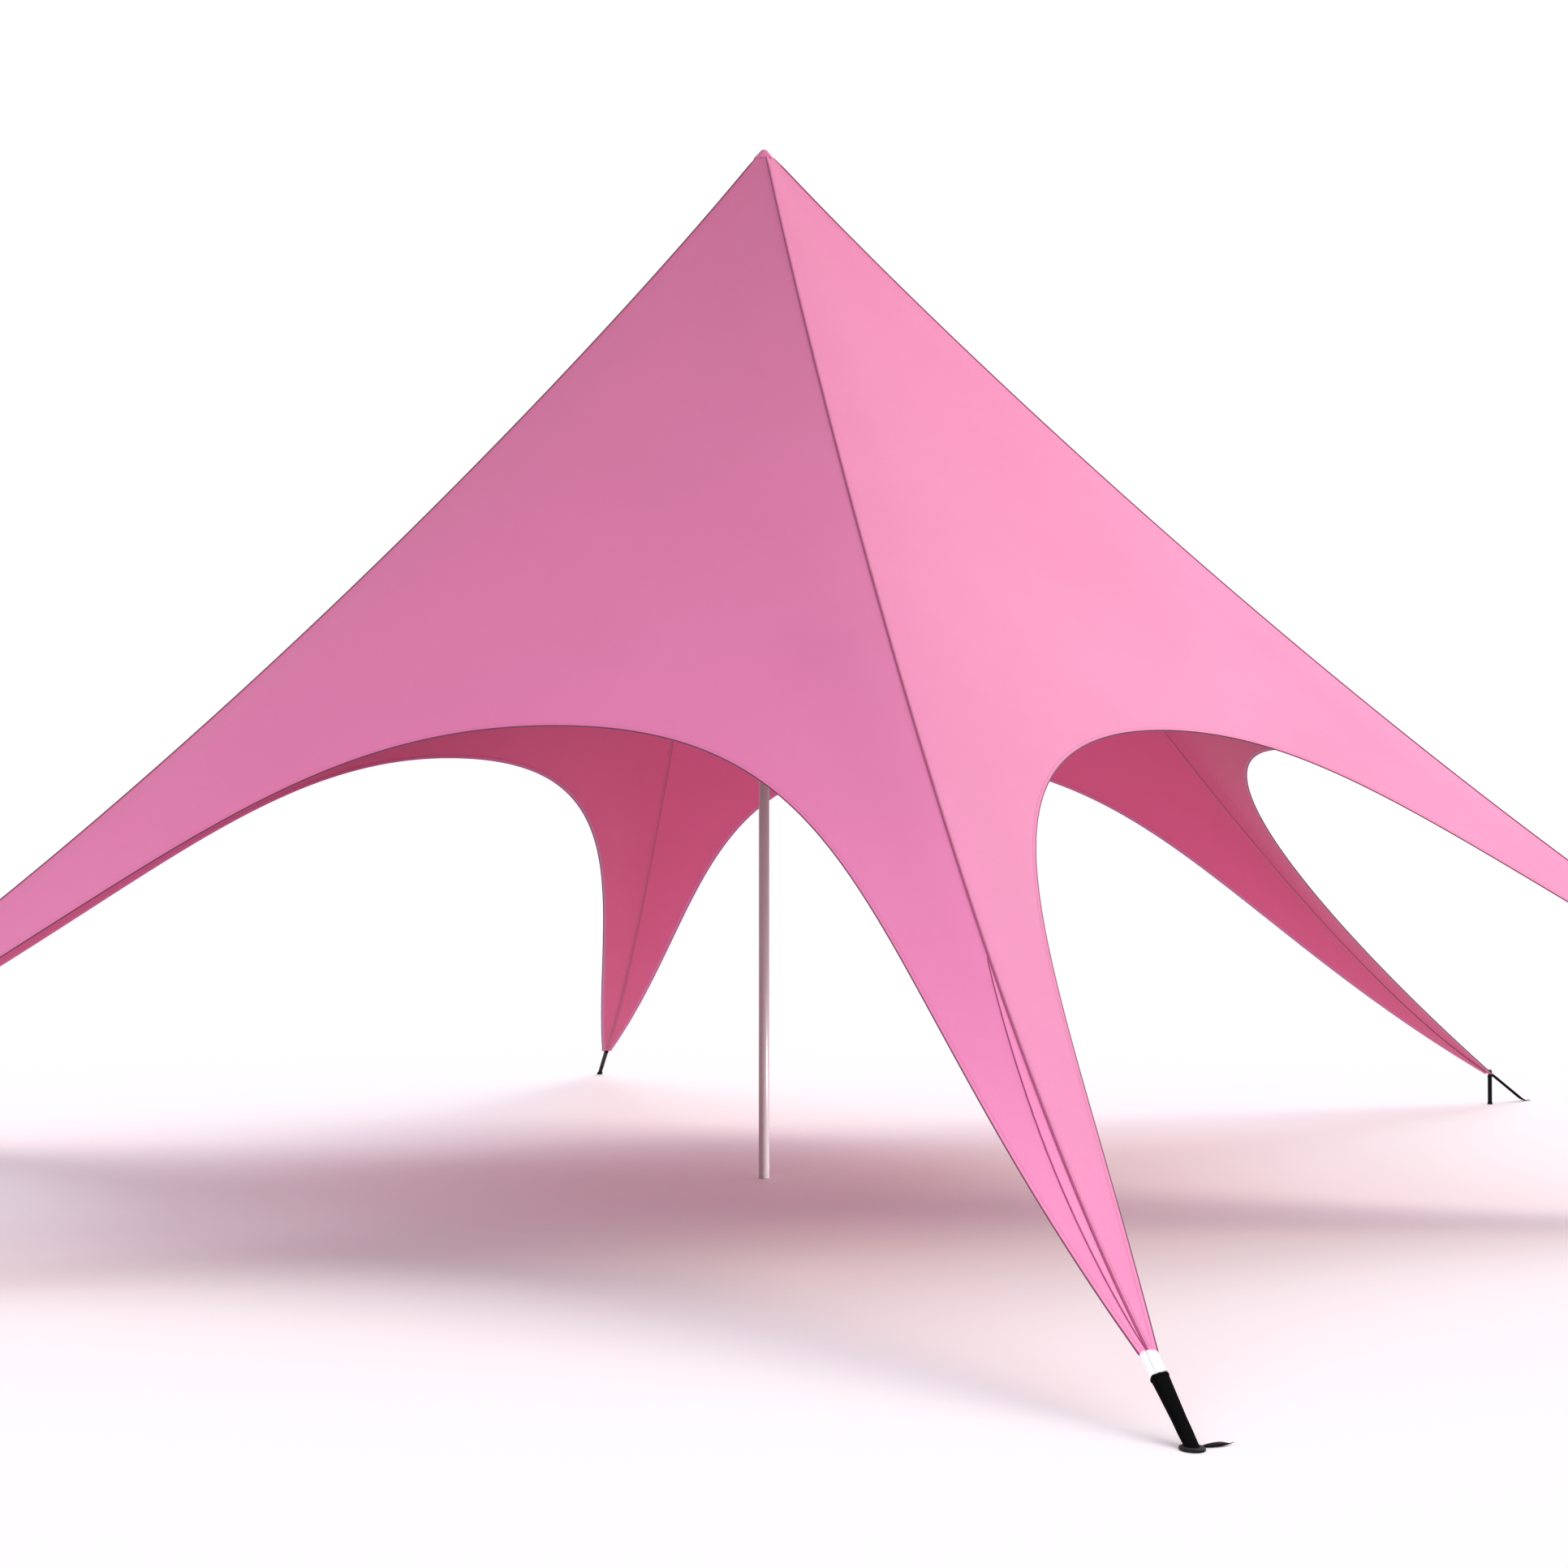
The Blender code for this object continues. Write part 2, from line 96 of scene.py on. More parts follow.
# Stitches
STITCH_STEP = 0.0095
STITCH_LENGTH = 0.0062
STITCH_WIDTH = 0.0016
RIDGE_STITCH_OFFSETS = (0.0056, 0.0092)
RIDGE_STITCH_LIFT = 0.0024
HEM_STITCH_OFFSET = 0.0115

# Tension pleat beside each ridge seam, from the mast's side to the arm's end
PLEAT_START = 3.74
PLEAT_END = 5.285
PLEAT_WIDTH = 0.034
PLEAT_RAMP = 0.012

# Outlines across a seam fold and a hem: (away from the ridge or edge, off the cloth)
SEAM_FOLD = ((0.0030, 0.0006), (0.0048, 0.0022), (0.0075, 0.0024), (0.0105, 0.0010), (0.0115, -0.0030),
             (0.0030, -0.0020))
HEM_FOLD = ((0.0008, 0.0003), (0.004, -0.0004), (0.012, -0.0010), (0.0150, -0.0013), (0.0162, -0.0030),
            (0.012, -0.0044), (0.005, -0.0046), (0.0010, -0.0036), (-0.0012, -0.0014))

# Colours
# Cloth tones near the peak and near the tips; the lighter tip tone is painted light
OUTSIDE_COLOURS = ((0.444, 0.102, 0.230), (0.470, 0.136, 0.285))
# The inside is the same fabric; its redder, deeper tone is painted light, the pink glow of light passing
# through and between the cloth
INSIDE_PAINTED_LIGHT_COLOURS = ((0.535, 0.070, 0.177), (0.535, 0.070, 0.184))
# Rose cord of the ridge seams; the same colour on the pleat creases is painted shade
CORD_AND_CREASE_SHADE_COLOUR = (0.20, 0.020, 0.085)
# Dark binding under the hems: painted shade
BINDING_PAINTED_SHADE_COLOUR = (0.10, 0.022, 0.050)
THREAD_COLOUR = (0.42, 0.088, 0.20)
TAPE_COLOUR = (0.45, 0.06, 0.14)
# The mast tube is white; this pinkish grey is painted shade from the canopy over it
MAST_PAINTED_SHADE_COLOUR = (0.41, 0.315, 0.32)
MAST_SCUFF_COLOUR = (0.52, 0.45, 0.46)
SLEEVE_COLOUR = (0.46, 0.475, 0.51)
# Darker tone of the sleeve's crumples: painted shade
SLEEVE_CREASE_SHADE_COLOUR = (0.25, 0.27, 0.325)
WEBBING_COLOUR = (0.0007, 0.0007, 0.0009)
DUST_COLOUR = (0.0060, 0.0057, 0.0055)
PLASTIC_COLOUR = (0.002, 0.002, 0.0023)
IRON_COLOUR = (0.003, 0.0026, 0.0026)
FLOOR_COLOUR = (0.925, 0.89, 0.965)

# Camera
CAMERA_DISTANCE = 12.45
CAMERA_HEIGHT = 1.468
CAMERA_AZIMUTH = math.radians(-10.55)
CAMERA_TURN = math.radians(0.40)
CAMERA_PITCH = math.radians(1.13)
CAMERA_LENS = 65.6
SENSOR_WIDTH = 36.0
CLIP_END = 400.0

# Floor and light
FLOOR_SIZE = 300.0
FLOOR_DROP = 0.0005
SUN_DISTANCE = 12.0
# name, degrees round from arm 1, degrees up, strength, degrees wide, colour
SUNS = (("back_sky", 187.0, 52.0, 0.45, 34.0, (1.0, 1.0, 1.0)),
        ("back_left_sky", 240.0, 55.0, 0.28, 34.0, (1.0, 1.0, 1.0)),
        ("back_right_sky", 134.0, 56.0, 1.03, 44.0, (0.97, 1.0, 0.99)),
        ("right_key", 84.0, 47.0, 0.90, 32.0, (1.0, 0.87, 0.60)))
HORIZON_COLOUR = (1.10, 1.03, 1.06)
ZENITH_COLOUR = (0.34, 0.30, 0.325)
HORIZON_UP_TO = math.radians(20.0)
ZENITH_FROM = math.radians(42.0)
# name, place, point aimed at, width, power, colour
PANELS = (("front_panel", (2.2, -9.3, 2.6), (0.0, -3.2, 1.2), 2.6, 179.0, (1.0, 1.0, 1.0)),
          ("right_panel", (5.8, -2.0, 6.4), (1.8, -1.3, 2.0), 3.0, 370.0, (1.0, 1.0, 1.0)),
          ("back_panel", (-3.5, 10.5, 3.8), (0.0, 2.0, 1.6), 3.0, 420.0, (1.0, 1.0, 1.0)),
          ("left_panel", (-4.6, -8.6, 0.9), (0.0, -4.6, 0.8), 1.2, 500.0, (0.97, 0.88, 1.0)))
MAST_PANEL = ("mast_panel", (0.7, -0.4, 0.1), (0.0, 0.0, 0.1), 0.4, 15.0, (0.86, 0.94, 1.0))

UP = np.array([0.0, 0.0, 1.0])


# Curves of the tent, as the frame has them

def arm_angle(arm):
    return math.radians(360.0 / ARM_COUNT * (arm - 1))


def outward(angle):
    return np.array([math.sin(angle), -math.cos(angle), 0.0])


def sideways(angle):
    return np.array([math.cos(angle), math.sin(angle), 0.0])


def arm_axes(arm):
    """Rows: along the arm, across it and up."""
    return np.array([outward(arm_angle(arm)), sideways(arm_angle(arm)), UP])


def cubic(start, start_handle, end_handle, end, share):
    share = np.asarray(share, dtype=float)[..., None]
    rest = 1.0 - share
    return (rest ** 3 * start + 3 * rest ** 2 * share * start_handle
            + 3 * rest * share ** 2 * end_handle + share ** 3 * end)


def ridge_height(radius):
    top = np.array([0.0, PEAK_HEIGHT])
    tip = np.array([TIP_RADIUS, TIP_HEIGHT])
    top_handle = top + RIDGE_TOP_HANDLE * np.array([1.0, -math.tan(RIDGE_TOP_SLOPE)])
    tip_handle = tip - RIDGE_TIP_HANDLE * np.array([1.0, -math.tan(RIDGE_TIP_SLOPE)])
    line = cubic(top, top_handle, tip_handle, tip, np.linspace(0.0, 1.0, 400))
    return np.interp(radius, line[:, 0], line[:, 1])


def half_edge(share, angle, side):
    """Free edge from an arm's tip (share 0) to the top of the arch (share 1)."""
    start = np.array([TIP_RADIUS, ARM_END_HALF_WIDTH, TIP_HEIGHT])
    lean = np.array([-math.cos(EDGE_TIP_ANGLE), math.sin(EDGE_TIP_ANGLE), EDGE_TIP_RISE])
    top = np.array([ARCH_RADIUS * math.cos(HALF_SECTOR), ARCH_RADIUS * math.sin(HALF_SECTOR), ARCH_HEIGHT])
    level = np.array([math.sin(HALF_SECTOR), -math.cos(HALF_SECTOR), 0.0])
    local = cubic(start, start + EDGE_TIP_HANDLE * lean, top + EDGE_TOP_HANDLE * level, top, share)
    return local @ np.array([outward(angle), side * sideways(angle), UP])


def cloth_edge(half, tip_cells):
    """Bottom edge of the panel between arms 1 and 2, with tip_cells cells across half an arm's end."""
    here, there = arm_angle(1), arm_angle(2)
    first = outward(here) * TIP_RADIUS + TIP_HEIGHT * UP
    last = outward(there) * TIP_RADIUS + TIP_HEIGHT * UP
    rising = half_edge(np.linspace(0.0, 1.0, half + 1), here, 1.0)
    falling = half_edge(np.linspace(1.0, 0.0, half + 1)[1:], there, -1.0)
    across = np.linspace(0.0, 1.0, tip_cells + 1)[:-1, None]
    left = first + across * (rising[0] - first)
    right = last + across[::-1] * (falling[-1] - last)
    return np.vstack([left, rising, falling, right])


def ridge_line(radii, lift):
    """Points over arm 1's ridge, lifted square to it, with the ridge's directions."""
    points = np.column_stack([np.zeros_like(radii), -radii, ridge_height(radii)])
    along = unit(np.gradient(points, axis=0))
    across = np.repeat(np.array([[1.0, 0.0, 0.0]]), len(radii), axis=0)
    up = unit(np.cross(across, along))
    up *= np.sign(up[:, 2:])
    return points + up * lift, along, across, up


# The stretched cloth, as a grid with rows from the cap to the free edge and columns from arm 1 to arm 2

def cloth_grid(rows, half, tip_cells):
    """First guess at a panel: every row blends from the ridges' heights to the free edge's."""
    edge = cloth_edge(half, tip_cells)
    start = CAP_OPENING / (edge @ outward(arm_angle(1) + HALF_SECTOR))
    blend = np.linspace(0.0, 1.0, rows + 1)[:, None]
    share = start + (1.0 - start) * blend
    grid = share[..., None] * edge
    heights = ridge_height(grid[:, 0] @ outward(arm_angle(1)))
    grid[..., 2] = heights[:, None] + blend * (edge[:, 2] - heights[-1])
    for column, arm in ((0, 1), (-1, 2)):
        grid[:, column, 2] = ridge_height(grid[:, column] @ outward(arm_angle(arm)))
    return grid


def cell_corners(rows, columns):
    row, column = np.meshgrid(np.arange(rows), np.arange(columns), indexing="ij")
    first = (row * (columns + 1) + column).ravel()
    return first, first + 1, first + columns + 2, first + columns + 1


def solve_heights(heights, first, second, weight, inner):
    """Heights at which the weighted pulls on every inner point cancel, by conjugate gradients."""
    count = len(heights)
    total = np.bincount(first, weight, count) + np.bincount(second, weight, count)

    def pull(values):
        drawn = np.bincount(first, weight * values[second], count)
        drawn += np.bincount(second, weight * values[first], count)
        return np.where(inner, total * values - drawn, 0.0)

    error = -pull(heights)
    scale = np.where(inner, 1.0 / total, 0.0)
    step = scale * error
    size = error @ step
    start = size
    for _ in range(SOLVER_STEPS):
        pulled = pull(step)
        share = size / (step @ pulled)
        heights = heights + share * step
        error = error - share * pulled
        ready = scale * error
        after = error @ ready
        if after < 1e-14 * start:
            break
        step = ready + after / size * step
        size = after
    return heights


def relax_heights(grid, rounds):
    """Move the inner points up or down until the stretched cloth has the least area."""
    points = grid.reshape(-1, 3)
    a, b, c, d = cell_corners(grid.shape[0] - 1, grid.shape[1] - 1)
    halves = [(a, b, c), (a, c, d), (a, b, d), (b, c, d)]
    triangles = np.vstack([np.column_stack(half) for half in halves])
    inner = np.zeros(grid.shape[:2], dtype=bool)
    inner[1:-1, 1:-1] = True
    for _ in range(rounds):
        ends, weights = [], []
        for corner in range(3):
            i = triangles[:, (corner + 1) % 3]
            j = triangles[:, (corner + 2) % 3]
            to_i = points[i] - points[triangles[:, corner]]
            to_j = points[j] - points[triangles[:, corner]]
            area = np.linalg.norm(np.cross(to_i, to_j), axis=1)
            weights.append(np.sum(to_i * to_j, axis=1) / np.maximum(area, 1e-9))
            ends.append(np.column_stack([i, j]))
        first, second = np.vstack(ends).T
        weight = np.concatenate(weights)
        points[:, 2] = solve_heights(points[:, 2].copy(), first, second, weight, inner.ravel())
    return points.reshape(grid.shape)


def straighten_beside_ridges(panel):
    """Carry the cloth's fall across a ridge straight on through the two narrow columns beside it."""
    share = np.linspace(0.0, 1.0, len(panel))[:, None]
    keep = np.clip((share - ARM_END_START) / ARM_END_BLEND, 0.0, 1.0)
    for arm, columns in ((1, range(0, 8)), (2, range(-1, -9, -1))):
        strip = panel[:, list(columns)]
        heights = ridge_height(strip @ outward(arm_angle(arm)))
        aside = np.abs(strip @ sideways(arm_angle(arm)))
        drop = heights - strip[..., 2]
        near = drop[:, 3:4] / aside[:, 3:4]
        far = drop[:, 6:7] / aside[:, 6:7]
        bend = (far - near) / (aside[:, 6:7] - aside[:, 3:4])
        straight = aside * (near + bend * (aside - aside[:, 3:4]))
        for place in (1, 2):
            panel[:, columns[place], 2] = (heights - keep * drop - (1.0 - keep) * straight)[:, place]
    return panel


def round_ridges(panel):
    """Let the cloth swell a little beside the ridges, so that it turns over them softly."""
    share = np.linspace(0.0, 1.0, len(panel))[:, None]
    fade = np.clip((SWELL_END - share) / SWELL_FADE, 0.0, 1.0)
    fade = fade * fade * (3.0 - 2.0 * fade)
    aside = np.minimum(np.abs(panel @ sideways(arm_angle(1))), np.abs(panel @ sideways(arm_angle(2))))
    half_width = aside.max(axis=1, keepdims=True)
    inward = aside / half_width
    panel[..., 2] += SWELL_SLOPE * fade * half_width * inward * (1.0 - inward) ** 2
    return panel


# Parts: paths, rings and rows of small things

def unit(vectors):
    return vectors / np.maximum(np.linalg.norm(vectors, axis=-1, keepdims=True), 1e-12)


def full_turn(sides):
    return np.linspace(0.0, 2 * math.pi, sides, endpoint=False)


def turned(points, arm):
    """Points of arm 1's part of the tent, turned to another arm."""
    return np.asarray(points) @ np.array([sideways(arm_angle(arm)), -outward(arm_angle(arm)), UP])


def join_parts(parts):
    points, faces, count = [], [], 0
    for part_points, part_faces in parts:
        points.append(part_points)
        faces += [tuple(corner + count for corner in face) for face in part_faces]
        count += len(part_points)
    return np.vstack(points), faces


def on_every_arm(part):
    return join_parts([(turned(part[0], arm), part[1]) for arm in ARMS])


def path_frames(points):
    """Directions across and up for each point of a path that runs near the ground."""
    along = unit(np.gradient(points, axis=0))
    across = unit(np.cross(along, UP))
    return across, unit(np.cross(across, along))


def ring_faces(count, sides):
    """Faces of closed rings that follow each other, with both ends closed."""
    faces = [tuple(range(sides)), tuple(range((count - 1) * sides, count * sides))]
    for ring in range(count - 1):
        for side in range(sides):
            here = ring * sides + side
            there = ring * sides + (side + 1) % sides
            faces.append((here, there, there + sides, here + sides))
    return faces


def rings_part(rings):
    return np.vstack(rings), ring_faces(len(rings), len(rings[0]))


def sweep(points, across, up, profile):
    """Push a closed outline (across, up) along a path. It may have a size of its own at each point."""
    profile = np.asarray(profile, dtype=float)
    if profile.ndim == 2:
        profile = np.repeat(profile[None], len(points), axis=0)
    return rings_part(points[:, None] + profile[..., :1] * across[:, None] + profile[..., 1:] * up[:, None])


def oval(half_width, half_height, sides):
    turn = full_turn(sides)
    return np.column_stack([half_width * np.cos(turn), half_height * np.sin(turn)])


def rounded_outline(sides, power):
    """Unit outline between an oval (power 2) and a box."""
    c, s = np.cos(full_turn(sides)), np.sin(full_turn(sides))
    return np.column_stack([np.sign(c) * np.abs(c) ** (2 / power), np.sign(s) * np.abs(s) ** (2 / power)])


def lathe(profile, sides, spot=(0.0, 0.0)):
    """Turn a profile of (radius, height) about an upright axis. It starts and ends on the axis."""
    turn = full_turn(sides)
    points = [(spot[0], spot[1], profile[0][1])]
    for radius, height in profile[1:-1]:
        points += [(spot[0] + radius * math.cos(a), spot[1] + radius * math.sin(a), height) for a in turn]
    points.append((spot[0], spot[1], profile[-1][1]))
    top = len(points) - 1
    sheath = ring_faces(len(profile) - 2, sides)[2:]
    faces = [tuple(corner + 1 for corner in face) for face in sheath]
    for side in range(sides):
        after = (side + 1) % sides
        faces.append((0, 1 + side, 1 + after))
        faces.append((top, top - sides + side, top - sides + after))
    return points, faces


def halve_steps(grid):
    """Put a smooth new point between each two along the first axis."""
    fine = np.zeros((2 * len(grid) - 1,) + grid.shape[1:])
    fine[::2] = grid
    middle = (grid[:-1] + grid[1:]) / 2.0
    middle[1:-1] = (9.0 * (grid[1:-2] + grid[2:-1]) - grid[:-3] - grid[3:]) / 16.0
    fine[1::2] = middle
    return fine


def resample(points, step):
    """Points at even steps along a polyline."""
    lengths = np.concatenate([[0.0], np.cumsum(np.linalg.norm(np.diff(points, axis=0), axis=1))])
    spots = np.arange(step / 2.0, lengths[-1], step)
    return np.column_stack([np.interp(spots, lengths, points[:, axis]) for axis in range(3)])


def on_cloth(surface, points, lift):
    """Points dropped onto the cloth's outside and lifted off it, with the cloth's directions there."""
    spots, normals = [], []
    for point in points:
        spot, normal, _, _ = surface.find_nearest(Vector(point))
        spots.append(np.array(spot))
        normals.append(np.array(normal))
    spots, normals = np.array(spots), np.array(normals)
    return spots + lift * normals, normals


def stitch_row(spots, up, height):
    """A row of thread loops, each a short pointed bead lying on the cloth."""
    along = unit(np.gradient(spots, axis=0))
    across = unit(np.cross(along, up))
    corners = np.stack([spots - along * STITCH_LENGTH / 2, spots + along * STITCH_LENGTH / 2,
                        spots - across * STITCH_WIDTH / 2, spots + across * STITCH_WIDTH / 2,
                        spots + up * height / 2, spots - up * height / 2], axis=1)
    pattern = np.array([(0, 2, 4), (0, 4, 3), (0, 3, 5), (0, 5, 2),
                        (1, 4, 2), (1, 3, 4), (1, 5, 3), (1, 2, 5)])
    faces = (pattern[None] + 6 * np.arange(len(spots))[:, None, None]).reshape(-1, 3)
    return corners.reshape(-1, 3), [tuple(face) for face in faces]


# Pieces

def link(item):
    bpy.context.scene.collection.objects.link(item)
    return item


def add_uvs(mesh, uvs):
    """Give each vertex its place on the cloth, in metres."""
    layer = mesh.uv_layers.new(name="cloth_metres")
    corner_vertex = np.zeros(len(mesh.loops), dtype=np.int32)
    mesh.loops.foreach_get("vertex_index", corner_vertex)
    layer.data.foreach_set("uv", np.asarray(uvs, dtype=np.float32)[corner_vertex].ravel())


def mesh_piece(name, part, material, sharp=None, replaces=()):
    """One piece that rides on the tent's only body. Edges over the sharp angle, in degrees, stay sharp."""
    points = np.asarray(part[0], dtype=float)
    mesh = bpy.data.meshes.new(name)
    mesh.from_pydata(points.tolist(), [], part[1])
    add_uvs(mesh, points[:, :2])
    mesh.validate()
    shell = bmesh.new()
    shell.from_mesh(mesh)
    bmesh.ops.recalc_face_normals(shell, faces=shell.faces)
    shell.to_mesh(mesh)
    shell.free()
    mesh.materials.append(material)
    mesh.shade_smooth()
    if sharp is not None:
        mesh.set_sharp_from_angle(angle=math.radians(sharp))
    piece = link(bpy.data.objects.new(name, mesh))
    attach(piece, "root")
    if replaces:
        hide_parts(*replaces)
    return piece


def panel_uvs(panel):
    """Lengths across the panel from its middle and down it from the cap."""
    steps = np.linalg.norm(np.diff(panel, axis=0), axis=2)
    along = np.vstack([np.zeros(panel.shape[1]), np.cumsum(steps, axis=0)])
    steps = np.linalg.norm(np.diff(panel, axis=1), axis=2)
    across = np.hstack([np.zeros((panel.shape[0], 1)), np.cumsum(steps, axis=1)])
    across -= across[:, -1:] / 2.0
    return across.ravel(), along.ravel()


def weld_panels(mesh):
    """Join the panels at the ridges, outside up. Gives the surface to lay things on, and its area."""
    shell = bmesh.new()
    shell.from_mesh(mesh)
    bmesh.ops.remove_doubles(shell, verts=shell.verts, dist=1e-5)
    bmesh.ops.recalc_face_normals(shell, faces=shell.faces)
    if sum(face.normal.z * face.calc_area() for face in shell.faces) < 0.0:
        bmesh.ops.reverse_faces(shell, faces=shell.faces)
    area = sum(face.calc_area() for face in shell.faces)
    surface = BVHTree.FromBMesh(shell)
    shell.to_mesh(mesh)
    shell.free()
    return surface, area


def make_canopy(panel, outside, inside):
    """One continuous star of cloth: six equal panels joined at the ridges, then given its thickness."""
    corners = np.column_stack(cell_corners(panel.shape[0] - 1, panel.shape[1] - 1))
    across, along = panel_uvs(panel)
    points = np.vstack([turned(panel.reshape(-1, 3), arm) for arm in ARMS])
    faces = np.vstack([corners + across.size * (arm - 1) for arm in ARMS])
    uvs = np.vstack([np.column_stack([across + 8.0 * arm, along]) for arm in ARMS])
    mesh = bpy.data.meshes.new("canopy_sheet")
    mesh.from_pydata(points.tolist(), [], faces.tolist())
    add_uvs(mesh, uvs)
    surface, area = weld_panels(mesh)
    mesh.materials.append(outside)
    mesh.materials.append(inside)
    mesh.shade_smooth()
    canopy = link(bpy.data.objects.new("canopy_sheet", mesh))
    thickness = canopy.modifiers.new("cloth thickness", "SOLIDIFY")
    thickness.thickness = CLOTH_THICKNESS
    thickness.offset = -1.0
    # Inner faces take the inside material, the cloth with painted light
    thickness.material_offset = 1
    thickness.material_offset_rim = 0
    bpy.context.view_layer.objects.active = canopy
    bpy.ops.object.modifier_apply(modifier=thickness.name)
    mesh.set_sharp_from_angle(angle=math.radians(RIDGE_SHARP_ANGLE))
    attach(canopy, "root")
    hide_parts(*[f"canopy_panel_{arm}" for arm in ARMS])
    return canopy, surface, area


# Materials

def feed(tree, value, target):
    """Set a socket to a number, a colour or a size, or join another node's output to it."""
    if isinstance(value, (int, float)):
        target.default_value = value
    elif isinstance(value, tuple):
        target.default_value = (*value, 1.0)[:len(target.default_value)]
    else:
        tree.links.new(value, target)


def add_node(tree, kind, sockets, **settings):
    """Add a node, choose its settings and feed its sockets."""
    node = tree.nodes.new(kind)
    for name, value in settings.items():
        setattr(node, name, value)
    for socket, value in sockets.items():
        feed(tree, value, node.inputs[socket])
    return node


class Shading:
    """A node material: constant values on the shader's sockets, and short helpers for its texture nodes."""

    def __init__(self, name, colour, values):
        self.material = bpy.data.materials.new(name)
        self.material.use_nodes = True
        self.material.diffuse_color = (*colour, 1.0)
        self.tree = self.material.node_tree
        self.place = add_node(self.tree, "ShaderNodeTexCoord", {})
        for socket, value in {"Base Color": colour, "Metallic": 0.0, **values}.items():
            self.shade(socket, value)

    def shade(self, socket, value):
        feed(self.tree, value, self.tree.nodes["Principled BSDF"].inputs[socket])

    def noise(self, scale, detail=3.0, roughness=0.5, stretch=(1.0, 1.0, 1.0), space="Object"):
        sockets = {"Scale": stretch, "Vector": self.place.outputs[space]}
        place = add_node(self.tree, "ShaderNodeMapping", sockets).outputs["Vector"]
        sockets = {"Scale": scale, "Detail": detail, "Roughness": roughness, "Vector": place}
        return add_node(self.tree, "ShaderNodeTexNoise", sockets).outputs["Fac"]

    def bands(self, period, direction, space="UV"):
        """Sine bands with the given period in metres."""
        sockets = {"Scale": math.pi / (10.0 * period), "Detail": 0.0, "Vector": self.place.outputs[space]}
        wave = add_node(self.tree, "ShaderNodeTexWave", sockets, wave_type="BANDS", bands_direction=direction)
        return wave.outputs["Fac"]

    def maths(self, operation, *values):
        return add_node(self.tree, "ShaderNodeMath", dict(enumerate(values)), operation=operation).outputs[0]

    def spread(self, value, low, high, start=0.0, end=1.0):
        """Map a value from start..end to low..high, held at both ends."""
        sockets = {"Value": value, "From Min": start, "From Max": end, "To Min": low, "To Max": high}
        return add_node(self.tree, "ShaderNodeMapRange", sockets).outputs["Result"]

    def mix(self, share, first, second):
        sockets = {0: share, 6: first, 7: second}
        return add_node(self.tree, "ShaderNodeMix", sockets, data_type="RGBA", blend_type="MIX").outputs[2]

    def coordinate(self, axis):
        return add_node(self.tree, "ShaderNodeSeparateXYZ", {0: self.place.outputs["Object"]}).outputs[axis]

    def bump(self, height, distance, strength):
        sockets = {"Height": height, "Distance": distance, "Strength": strength}
        self.shade("Normal", add_node(self.tree, "ShaderNodeBump", sockets).outputs["Normal"])


def scaled(colour, factor):
    return tuple(value * factor for value in colour)


def raised(colour, step):
    return tuple(value + step for value in colour)


def cloth_material(name, near_peak, near_tips, sheen):
    """Stretched polyester: fine knit ribs, a tone that grows lighter from the peak to the tips as painted
    light, soft sheen.
    """
    look = Shading(name, near_peak, {"Roughness": 0.6, "Specular IOR Level": 0.3, "Sheen Weight": sheen,
                                     "Sheen Roughness": 0.45, "Sheen Tint": (1.0, 0.92, 0.97)})
    x, y = look.coordinate(0), look.coordinate(1)
    squares = look.maths("ADD", look.maths("MULTIPLY", x, x), look.maths("MULTIPLY", y, y))
    radius = look.maths("SQRT", squares)
    # Painted light: the tone grows lighter from the peak towards the arm tips
    tone = look.mix(look.spread(radius, 0.0, 1.0, 0.2, 4.6), near_peak, near_tips)
    deeper = scaled(near_peak, 0.90)
    patches = look.noise(0.9, 4.0, 0.55)
    tone = look.mix(look.spread(patches, 0.0, 0.35, 0.35, 0.75), tone, deeper)
    streaks = look.noise(60.0, 2.0, 0.5, (1.0, 0.03, 1.0), "UV")
    tone = look.mix(look.spread(streaks, 0.0, 0.10, 0.3, 0.8), tone, deeper)
    ribs = look.bands(0.0016, "X")
    rows = look.bands(0.0013, "Y")
    knit = look.maths("MULTIPLY", ribs, rows)
    look.shade("Base Color", look.mix(look.spread(knit, 0.10, 0.0), tone, scaled(near_peak, 0.7)))
    look.shade("Roughness", look.spread(patches, 0.52, 0.66))
    look.bump(knit, 0.00022, 0.6)
    return look.material


def thread_material(name, colour):
    """Twisted sewing thread or piping cord: fine diagonal strands and a slight shine."""
    look = Shading(name, colour, {"Roughness": 0.5, "Specular IOR Level": 0.2, "Sheen Weight": 0.04,
                                  "Sheen Roughness": 0.5, "Sheen Tint": (1.0, 0.8, 0.9)})
    fine = look.noise(900.0, 2.0, 0.6)
    strand = look.bands(0.0012, "DIAGONAL", "Object")
    look.shade("Base Color", look.mix(look.spread(strand, 0.0, 0.5), colour, scaled(colour, 0.72)))
    look.shade("Roughness", look.spread(fine, 0.42, 0.62))
    look.bump(strand, 0.0002, 0.5)
    return look.material


